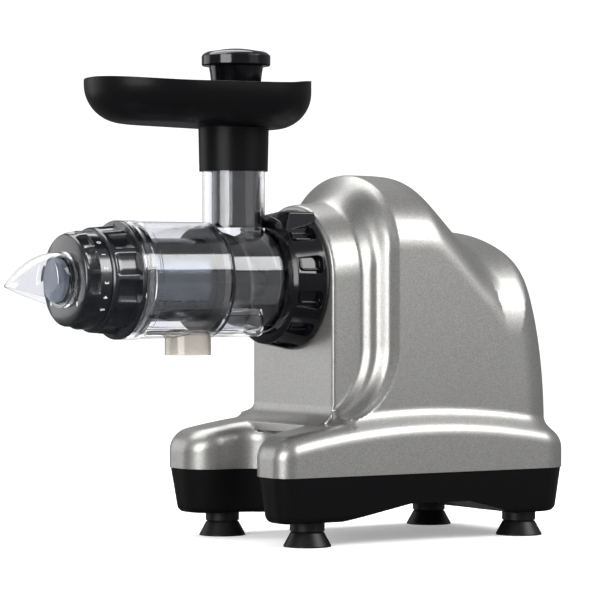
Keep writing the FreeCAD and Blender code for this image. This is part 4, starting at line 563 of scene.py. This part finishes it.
def dialShells():
    d = dialForm
    back, below = d["slopeStart"]
    outline = [(d["faceX"], d["bore"])]
    outline += [(d["faceX"] + deep, d["face"] + out) for deep, out in d["faceEdge"]]
    return turnedShell(outline + [(d["faceX"] + back, d["radius"] - below), (d["bandX"], d["radius"]),
                                  (d["rearX"], d["radius"]), (d["rearX"], d["bore"])])


def scoopTree():
    tree, value, end = growTree("gripScoops", capGrip, True)

    def calc(operation, a, b=0.0, c=0.0):
        return mathNode(tree, operation, a, b, c)

    place = addNode(tree, "ShaderNodeSeparateXYZ", {0: addNode(tree, "GeometryNodeInputPosition").outputs[0]})
    x, y, height = place.outputs
    z = calc("SUBTRACT", height, value["Axis Height"])
    radius = calc("SQRT", calc("ADD", calc("MULTIPLY", y, y), calc("MULTIPLY", z, z)))
    angle = calc("SUBTRACT", calc("ARCTAN2", calc("MULTIPLY", y, -1.0), z), value["First"])
    half = calc("DIVIDE", math.pi, value["Flutes"])
    across = calc("MULTIPLY", calc("WRAP", angle, half, calc("MULTIPLY", half, -1.0)), radius)
    share = calc("MINIMUM", calc("ABSOLUTE", calc("DIVIDE", across, value["Half Width"])), 1.0)
    hollow = calc("SUBTRACT", 1.0, calc("POWER", share, value["Fullness"]))
    run = calc("DIVIDE", calc("SUBTRACT", x, value["Front"]), value["Front Round"])
    short = calc("SUBTRACT", 1.0, calc("MINIMUM", calc("MAXIMUM", run, 0.0), 1.0))
    entry = calc("SQRT", calc("MAXIMUM", calc("SUBTRACT", 1.0, calc("MULTIPLY", short, short)), 0.0))
    before = calc("LESS_THAN", x, value["Rear"])
    outer = calc("GREATER_THAN", radius, value["Least Radius"])
    scoop = calc("MULTIPLY", calc("MULTIPLY", hollow, entry), calc("MULTIPLY", before, outer))
    depth = calc("MULTIPLY", scoop, calc("MULTIPLY", value["Depth"], -1.0))
    inward = calc("DIVIDE", depth, calc("MAXIMUM", radius, 1e-6))
    offset = addNode(tree, "ShaderNodeCombineXYZ",
                     {1: calc("MULTIPLY", y, inward), 2: calc("MULTIPLY", z, inward)})
    moved = addNode(tree, "GeometryNodeSetPosition",
                    {"Geometry": value["Geometry"], "Offset": offset.outputs[0]})
    real = addNode(tree, "GeometryNodeRealizeInstances", {0: moved.outputs[0]})
    dressTree(tree, end, real.outputs[0], "charcoal_plastic")
    return tree


def makeGrips():
    tree = scoopTree()
    grips = (("end_cap_grip", "end_cap", "end_cap", capGrip, capShells()),
             ("dial_grip", "pressure_dial", "pressure_dial", dialGrip, dialShells()))
    for name, body, node, sizes, (points, faces) in grips:
        piece = growPiece(tree, inMetres(sizes), name, body, "charcoal_plastic", "charcoal_plastic",
                          (inFrame(points), faces))
        piece.data.set_sharp_from_angle(angle=math.radians(cutting["sharpAngle"]))
        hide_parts(node)


makeGrips()
print("grips scooped")


# soft ring that seals the strainer against the drum just before the feed opening
sealRing = {"x": (-155.0, -152.8), "inner": 40.9, "outer": 42.7, "steps": 96, "edge": 0.4}


def makeSealRing():
    front, rear = sealRing["x"]
    inner, outer, edge, steps = sealRing["inner"], sealRing["outer"], sealRing["edge"], sealRing["steps"]
    outline = [(front, inner + edge), (front, outer - edge), (front + edge, outer), (rear - edge, outer),
               (rear, outer - edge), (rear, inner + edge), (rear - edge, inner), (front + edge, inner)]
    count = len(outline)
    points, faces = [], []
    for step in range(steps):
        turn = 2 * math.pi * step / steps
        for x, radius in outline:
            points.append((x, radius * math.cos(turn), drawing["axisZ"] + radius * math.sin(turn)))
    for step in range(steps):
        here, there = step * count, (step + 1) % steps * count
        for k in range(count):
            after = (k + 1) % count
            faces.append((here + k, there + k, there + after, here + after))
    meshPiece("strainer_seal", inFrame(points), faces, "machine", "dark_plastic")


makeSealRing()
print("strainer seal made")


# upper housing: one smooth painted shell, drawn from the same curves as its solid
housing = {"cell": 2.2, "wall": 3.0, "seamZ": 54.7, "filletRadius": 8.0, "panelEdge": 2.4,
           "frontX": -141.5, "rearX": 139.5, "halfWidth": 90.0, "notchHalf": 36.0, "notchEndX": -84.0,
           "frontRound": 15.0, "rearRound": 30.0, "mouthRound": 25.0, "notchRound": 24.0,
           "skirtTopZ": 98.6, "skirtDrop": 22.0, "skirtReach": 168.6, "skirtEdge": 15.0,
           "panelX": -75.0, "portHalf": 59.0, "flare": 2.5, "shoulderX": (-52.0, -25.0), "bodyHalf": 79.0,
           "topZ": 289.4, "crown": 60.0, "roofBreakX": 12.4, "roofSlope": 1.0, "roofSoft": 6.0,
           "ridgePitch": 10.9, "ridgeX": -44.4, "ridgeHeight": 1.1, "ridgeFade": (236.0, 34.0),
           "sweepZ": (154.0, 96.0), "sweep": 52.0, "sweepShare": 0.98, "leastRise": 5.0,
           "humpX": 76.0, "humpReach": 27.0, "humpTopZ": 244.5, "humpSpringZ": 160.0, "humpBlend": 7.0,
           "valleyZ": (165.0, 45.0), "humpRearZ": 86.0, "humpEdge": 8.0, "humpEdgeFade": 0.8,
           "backX": 133.0, "backRound": 36.0, "coveRadius": 15.0, "coveLip": 2.0, "coveShelfZ": 93.1,
           "coveInset": (3.0, 0.7, 8.0), "coveEdge": 0.8, "slopeLimits": (0.35, 3.0),
           "portBore": 38.0, "portCut": (4.0, 1.0), "switch": (124.0, 10.7, 14.7),
           "inlet": (68.0, 14.1, 10.1), "rearCutX": 90.0, "margin": 1.5, "topMargin": 2.0, "footShare": 0.45}


def ease(t):
    t = np.clip(t, 0.0, 1.0)
    return t * t * (3 - 2 * t)


def roundMax(a, b, radius):
    return (np.minimum(np.maximum(a + radius, b + radius), 0)
            + np.hypot(np.maximum(a + radius, 0), np.maximum(b + radius, 0)) - radius)


def roundMin(a, b, radius):
    return -roundMax(-a, -b, radius)


def bodyLevel(x, y, z):
    h = housing
    shoulder0, shoulder1 = h["shoulderX"]
    portTop = drawing["axisZ"] + h["portHalf"]
    share = ease((x - shoulder0) / (shoulder1 - shoulder0))
    flare = h["flare"] * np.clip((x - h["panelX"]) / (shoulder0 - h["panelX"]), 0.0, 1.0)
    front = portTop + flare + (h["topZ"] - portTop - h["flare"]) * share
    over = x - h["roofBreakX"]
    roof = front - h["roofSlope"] * 0.5 * (over + np.sqrt(over * over + h["roofSoft"] ** 2))
    turn = np.clip((h["sweepZ"][0] - z) / (h["sweepZ"][0] - h["sweepZ"][1]), 0.0, h["sweepShare"])
    local = x + h["sweep"] * (1 - np.sqrt(1 - turn * turn))
    step = (local - shoulder0) / (shoulder1 - shoulder0)
    wide = h["portHalf"] + (h["bodyHalf"] - h["portHalf"]) * ease(step)
    fade = 1 - ease((z - h["ridgeFade"][0]) / h["ridgeFade"][1])
    wave = np.cos(2 * np.pi * (local - h["ridgeX"]) / h["ridgePitch"])
    side = wide + h["ridgeHeight"] * np.sin(np.pi * np.clip(step, 0.0, 1.0)) * fade * wave
    rise = np.maximum(h["portHalf"] + (h["crown"] - h["portHalf"]) * share, h["leastRise"])
    up = np.maximum(z - (roof - rise), 0.0) / rise
    frontVolume = (np.hypot(y / side, up) - 1) * rise
    humpRise = h["humpTopZ"] - h["humpSpringZ"]
    up = np.maximum(z - h["humpSpringZ"], 0.0) / humpRise
    hump = (np.hypot(y / h["bodyHalf"], up) - 1) * humpRise
    hump = hump + np.maximum(h["humpX"] - 2 * h["humpReach"] - x, 0.0)
    mix = np.maximum(h["humpBlend"] - np.abs(frontVolume - hump), 0.0) / h["humpBlend"]
    mix = mix * ease((z - h["valleyZ"][0]) / h["valleyZ"][1])
    joined = np.minimum(frontVolume, hump) - mix * mix * h["humpBlend"] / 4
    up = np.clip(np.maximum(z - h["humpRearZ"], 0.0) / (h["humpTopZ"] - h["humpRearZ"]), 0.0, 1.0)
    back = h["humpX"] + (h["backX"] - h["humpX"]) * np.sqrt(1 - up * up)
    cornerX = x - (back - h["backRound"])
    cornerY = np.abs(y) - (h["bodyHalf"] - h["backRound"])
    outside = np.hypot(np.maximum(cornerX, 0.0), np.maximum(cornerY, 0.0)) - h["backRound"]
    mix = np.maximum(h["humpEdge"] - np.abs(joined - outside), 0.0) / h["humpEdge"]
    mix = mix * ease(cornerX / (h["backRound"] * h["humpEdgeFade"]))
    return np.maximum(joined, outside) + mix * mix * h["humpEdge"] / 4


def gradientOf(level, x, y, z, step=0.4):
    return np.stack([(level(x + step, y, z) - level(x - step, y, z)) / (2 * step),
                     (level(x, y + step, z) - level(x, y - step, z)) / (2 * step),
                     (level(x, y, z + step) - level(x, y, z - step)) / (2 * step)], -1)


def bodyDistance(x, y, z):
    slope = np.linalg.norm(gradientOf(bodyLevel, x, y, z), axis=-1)
    return bodyLevel(x, y, z) / np.clip(slope, *housing["slopeLimits"])


def skirtDistance(x, y, z):
    h = housing
    middle = (h["frontX"] + h["rearX"]) / 2
    half = (h["rearX"] - h["frontX"]) / 2
    radius = np.where(x < middle, h["frontRound"], h["rearRound"])
    awayX = np.abs(x - middle) - half + radius
    awayY = np.abs(y) - h["halfWidth"] + radius
    box = np.minimum(np.maximum(awayX, awayY), 0)
    box = box + np.hypot(np.maximum(awayX, 0), np.maximum(awayY, 0)) - radius
    notch = roundMax(x - h["notchEndX"], np.abs(y) - h["notchHalf"], h["notchRound"])
    plan = roundMax(box, -notch, h["mouthRound"])
    archRadius = (h["skirtReach"] ** 2 + h["skirtDrop"] ** 2) / (2 * h["skirtDrop"])
    arch = np.hypot(x, z - (h["skirtTopZ"] - archRadius)) - archRadius
    return roundMax(plan, arch, h["skirtEdge"])


def coveDistance(x, y, z):
    h = housing
    front, middleZ = h["panelX"] - h["coveRadius"], h["coveShelfZ"] + h["coveRadius"]
    insideX, insideY, insideZ = h["coveInset"]
    bar = np.maximum.reduce([front - x, x - (h["panelX"] + insideX), np.abs(y) - (h["portHalf"] - insideY),
                             h["coveShelfZ"] - insideZ - z, z - (middleZ - h["coveLip"])])
    hollow = h["coveRadius"] - np.hypot(x - front, z - middleZ)
    return roundMax(bar, hollow, h["coveEdge"])


def housingLevel(x, y, z):
    body = roundMax(bodyDistance(x, y, z), housing["panelX"] - x, housing["panelEdge"])
    joined = roundMin(body, skirtDistance(x, y, z), housing["filletRadius"])
    return np.minimum(joined, coveDistance(x, y, z))


def surfaceNet(level, low, high, cell):
    # one point in every cell that the surface crosses, and a four-sided face round every crossed edge
    axes = [np.arange(a, b + cell, cell) for a, b in zip(low, high)]
    grid = np.meshgrid(*axes, indexing="ij")
    values = level(*grid)
    inside = values < 0
    shape = inside.shape
    total = np.zeros([n - 1 for n in shape] + [3])
    hits = np.zeros([n - 1 for n in shape])
    for axis in range(3):
        for du in (0, 1):
            for dv in (0, 1):
                first = [slice(0, -1)] * 3
                others = [a for a in range(3) if a != axis]
                for other, shift in zip(others, (du, dv)):
                    first[other] = slice(shift, shape[other] - 1 + shift)
                second = list(first)
                second[axis] = slice(1, None)
                a, b = values[tuple(first)], values[tuple(second)]
                crossed = (a < 0) != (b < 0)
                t = np.where(crossed, a / np.where(a - b == 0, 1, a - b), 0)
                for k in range(3):
                    base = grid[k][tuple(first)]
                    total[..., k] += np.where(crossed, base + (t * cell if k == axis else 0), 0)
                hits += crossed
    live = hits > 0
    points = total[live] / hits[live][:, None]
    index = -np.ones(live.shape, int)
    index[live] = np.arange(len(points))
    faces = []
    for axis in range(3):
        u, v = [a for a in range(3) if a != axis]
        low0 = [slice(1, -1)] * 3
        low0[axis] = slice(0, -1)
        up0 = list(low0)
        up0[axis] = slice(1, None)
        a, b = inside[tuple(low0)], inside[tuple(up0)]
        for where, flip in ((a & ~b, False), (~a & b, True)):
            at = np.argwhere(where)
            at[:, u] += 1
            at[:, v] += 1
            corners = []
            for su, sv in ((0, 0), (1, 0), (1, 1), (0, 1)):
                place = at.copy()
                place[:, u] -= su
                place[:, v] -= sv
                corners.append(index[place[:, 0], place[:, 1], place[:, 2]])
            quad = np.stack(corners, 1)
            if (axis == 1) != flip:
                quad = quad[:, ::-1]
            faces.append(quad)
    faces = np.concatenate(faces)
    return points, faces[(faces >= 0).all(1)]


def pullToSurface(level, points, reach, rounds=5, stride=0.6, leastSlope=0.05):
    # short steps down the slope, never further than reach from where each point started
    moved = points.copy()
    for _ in range(rounds):
        x, y, z = moved.T
        slope = gradientOf(level, x, y, z)
        size = np.maximum((slope ** 2).sum(1), leastSlope)
        step = -level(x, y, z)[:, None] * slope / size[:, None]
        length = np.linalg.norm(step, axis=1)[:, None]
        moved += step * np.minimum(1, stride / np.maximum(length, 1e-9))
        away = moved - points
        far = np.linalg.norm(away, axis=1)[:, None]
        moved = points + away * np.minimum(1, reach / np.maximum(far, 1e-9))
    return moved


def unitNormals(level, points):
    slope = gradientOf(level, *points.T)
    return slope / np.maximum(np.linalg.norm(slope, axis=1)[:, None], 1e-9)


def makeHousing():
    h = housing
    cell = h["cell"]
    margin = h["margin"] * cell
    low = (h["frontX"] - margin, -h["halfWidth"] - margin, h["seamZ"] - cell / 2)
    high = (h["rearX"] + margin, h["halfWidth"] + margin, h["topZ"] + h["topMargin"] * cell)
    points, faces = surfaceNet(housingLevel, low, high, cell)
    foot = points[:, 2] < h["seamZ"] + cell * h["footShare"]
    points = pullToSurface(housingLevel, points, cell)
    points[foot, 2] = h["seamZ"]
    x, y, z = points[faces].mean(1).T
    reach, clear = h["portCut"]
    holes = (x < h["panelX"] + reach) & (np.hypot(y, z - drawing["axisZ"]) < h["portBore"] + clear)
    for middle, halfY, halfZ in (h["switch"], h["inlet"]):
        holes |= (x > h["rearCutX"]) & (np.abs(y) < halfY) & (np.abs(z - middle) < halfZ)
    faces = faces[~holes]
    used = np.unique(faces)
    renumber = -np.ones(len(points), int)
    renumber[used] = np.arange(len(used))
    points, faces = points[used], renumber[faces]
    normals = unitNormals(housingLevel, points)
    inner = points - normals * h["wall"]
    inner[:, 2] = np.maximum(inner[:, 2], h["seamZ"])
    count = len(points)
    edges = np.concatenate([faces[:, [k, (k + 1) % 4]] for k in range(4)])
    keys = edges[:, 0] * count + edges[:, 1]
    back = edges[:, 1] * count + edges[:, 0]
    rim = edges[~np.isin(keys, back)]
    walls = np.stack([rim[:, 1], rim[:, 0], rim[:, 0] + count, rim[:, 1] + count], 1)
    allFaces = np.concatenate([faces, faces[:, ::-1] + count, walls])
    piece = meshPiece("housing_shell", inFrame(np.concatenate([points, inner])), allFaces, "machine",
                      "silver_paint")
    shading = np.concatenate([normals, -normals])
    piece.data.normals_split_custom_set_from_vertices([tuple(n) for n in shading])
    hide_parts("upper_housing")
    print("housing:", len(allFaces), "faces, box", points.min(0).round(1), points.max(0).round(1))


makeHousing()
print("housing made")


# numbers on the pressure dial
numbers = {"height": 3.6, "fontShare": 1.35, "curveSteps": 6, "bold": 0.03, "raise": 0.12,
           "bandX": (-268.2, -260.0), "radius": 37.6,
           "places": {"0": 49.0, "1": 31.0, "2": 14.0, "3": -3.0, "4": -20.0, "5": -36.0}}


def onBand(flat, angle, middleX, radius):
    # lays a flat drawing round the dial, its x along the rim and its y along the drum; the angle goes up
    # from the near side
    points = []
    for across, along, out in flat:
        turn = math.radians(angle) - across / radius
        r = radius + out
        points.append((middleX + along, -r * math.cos(turn), drawing["axisZ"] + r * math.sin(turn)))
    return points


def makeNumbers():
    middleX = sum(numbers["bandX"]) / 2
    allPoints, allFaces = [], []
    for digit, angle in numbers["places"].items():
        text = bpy.data.curves.new("digit", "FONT")
        text.body = digit
        text.size = numbers["height"] * numbers["fontShare"]
        text.align_x = "CENTER"
        text.align_y = "CENTER"
        text.resolution_u = numbers["curveSteps"]
        text.offset = numbers["bold"]
        text.extrude = numbers["raise"] / 2
        shape = bpy.data.objects.new("digit", text)
        bpy.context.scene.collection.objects.link(shape)
        bpy.context.view_layer.update()
        flat = bpy.data.meshes.new_from_object(shape.evaluated_get(bpy.context.evaluated_depsgraph_get()))
        bpy.data.objects.remove(shape)
        points = [(v.co.x, v.co.y, v.co.z + numbers["raise"] / 2) for v in flat.vertices]
        start = len(allPoints)
        allPoints += onBand(points, angle, middleX, numbers["radius"])
        allFaces += [[start + i for i in p.vertices] for p in flat.polygons]
        bpy.data.meshes.remove(flat)
    meshPiece("dial_numbers", inFrame(allPoints), allFaces, "pressure_dial", "charcoal_plastic", "white_ink",
              False)


makeNumbers()
print("dial numbers laid on")


# pale floor, soft lamps and the sky around them
studio = {"floorFront": 6.0, "floorReach": 4.0, "floorHalf": 9.0, "sweepRadius": 1.5, "sweepSteps": 24,
          "wallHeight": 4.0, "floorColor": (0.93, 0.93, 0.935), "floorGloss": 0.9, "floorGlow": 0.30,
          "skyLow": (0.03, 0.03, 0.032, 1), "skyHigh": (0.34, 0.34, 0.35, 1), "skyGlow": 0.75, "skySeen": 1.0}

# where each lamp stands, the point it faces, its width and height, and its power in watts
lamps = {"top": ((-0.10, 0.60, 1.40), (0.0, 0.0, 0.20), (1.6, 0.9), 16.0),
         "left": ((-1.70, -0.75, 0.62), (0.0, 0.0, 0.20), (1.2, 1.2), 28.0),
         "key": ((1.15, -1.48, 1.35), (0.0, 0.0, 0.20), (1.5, 1.0), 37.0),
         "fill": ((1.30, -2.20, 0.42), (0.0, 0.0, 0.15), (1.6, 0.9), 2.0),
         "back": ((-1.08, 1.68, 0.45), (0.0, 0.0, 0.15), (1.2, 1.2), 6.0)}


def makeFloor():
    # level under the machine, then swept up into a wall behind it, square to the camera
    reach, radius, steps = studio["floorReach"], studio["sweepRadius"], studio["sweepSteps"]
    profile = [(-studio["floorFront"], 0.0), (reach, 0.0)]
    for k in range(1, steps + 1):
        t = math.pi / 2 * k / steps
        profile.append((reach + radius * math.sin(t), radius - radius * math.cos(t)))
    profile.append((reach + radius, studio["wallHeight"]))
    turn = math.radians(view["azimuth"])
    cos, sin = math.cos(turn), math.sin(turn)
    points = [(side * cos - along * sin, side * sin + along * cos, up)
              for side in (-studio["floorHalf"], studio["floorHalf"]) for along, up in profile]
    count = len(profile)
    mesh = bpy.data.meshes.new("floor")
    mesh.from_pydata(points, [], [(k, k + count, k + count + 1, k + 1) for k in range(count - 1)])
    mesh.polygons.foreach_set("use_smooth", [True] * len(mesh.polygons))
    made, _, shader, _ = newFinish("studio_floor")
    shader.inputs["Base Color"].default_value = (*studio["floorColor"], 1)
    shader.inputs["Roughness"].default_value = studio["floorGloss"]
    shader.inputs["Emission Color"].default_value = (1, 1, 1, 1)
    shader.inputs["Emission Strength"].default_value = studio["floorGlow"]
    mesh.materials.append(made)
    floor = bpy.data.objects.new("floor", mesh)
    bpy.context.scene.collection.objects.link(floor)
    floor.visible_glossy = False


def makeLamps():
    for name, (place, aim, size, power) in lamps.items():
        light = bpy.data.lights.new(name, "AREA")
        light.shape = "RECTANGLE"
        light.size, light.size_y = size
        light.energy = power
        source = bpy.data.objects.new(name, light)
        bpy.context.scene.collection.objects.link(source)
        source.location = place
        source.rotation_euler = (Vector(aim) - Vector(place)).to_track_quat("-Z", "Y").to_euler()


def makeSky():
    # darker toward the ground for what shines, and even for diffuse light, clear plastic and the camera
    world = bpy.data.worlds.new("studio")
    bpy.context.scene.world = world
    world.use_nodes = True
    tree = world.node_tree
    coords = addNode(tree, "ShaderNodeTexCoord")
    axes = addNode(tree, "ShaderNodeSeparateXYZ", {0: coords.outputs["Generated"]})
    level = mathNode(tree, "ADD", mathNode(tree, "MULTIPLY", axes.outputs["Z"], 0.5), 0.5)
    ramp = addNode(tree, "ShaderNodeValToRGB", {0: level})
    ramp.color_ramp.elements[0].color = studio["skyLow"]
    ramp.color_ramp.elements[1].color = studio["skyHigh"]
    ray = addNode(tree, "ShaderNodeLightPath")
    chosen = ramp.outputs["Color"]
    for seen, key in (("Is Diffuse Ray", "skyGlow"), ("Is Transmission Ray", "skySeen"),
                      ("Is Camera Ray", "skySeen")):
        chosen = mixColors(tree, ray.outputs[seen], chosen, (*[studio[key]] * 3, 1))
    tree.links.new(chosen, tree.nodes["Background"].inputs["Color"])


makeFloor()
makeLamps()
makeSky()
print("studio lit")
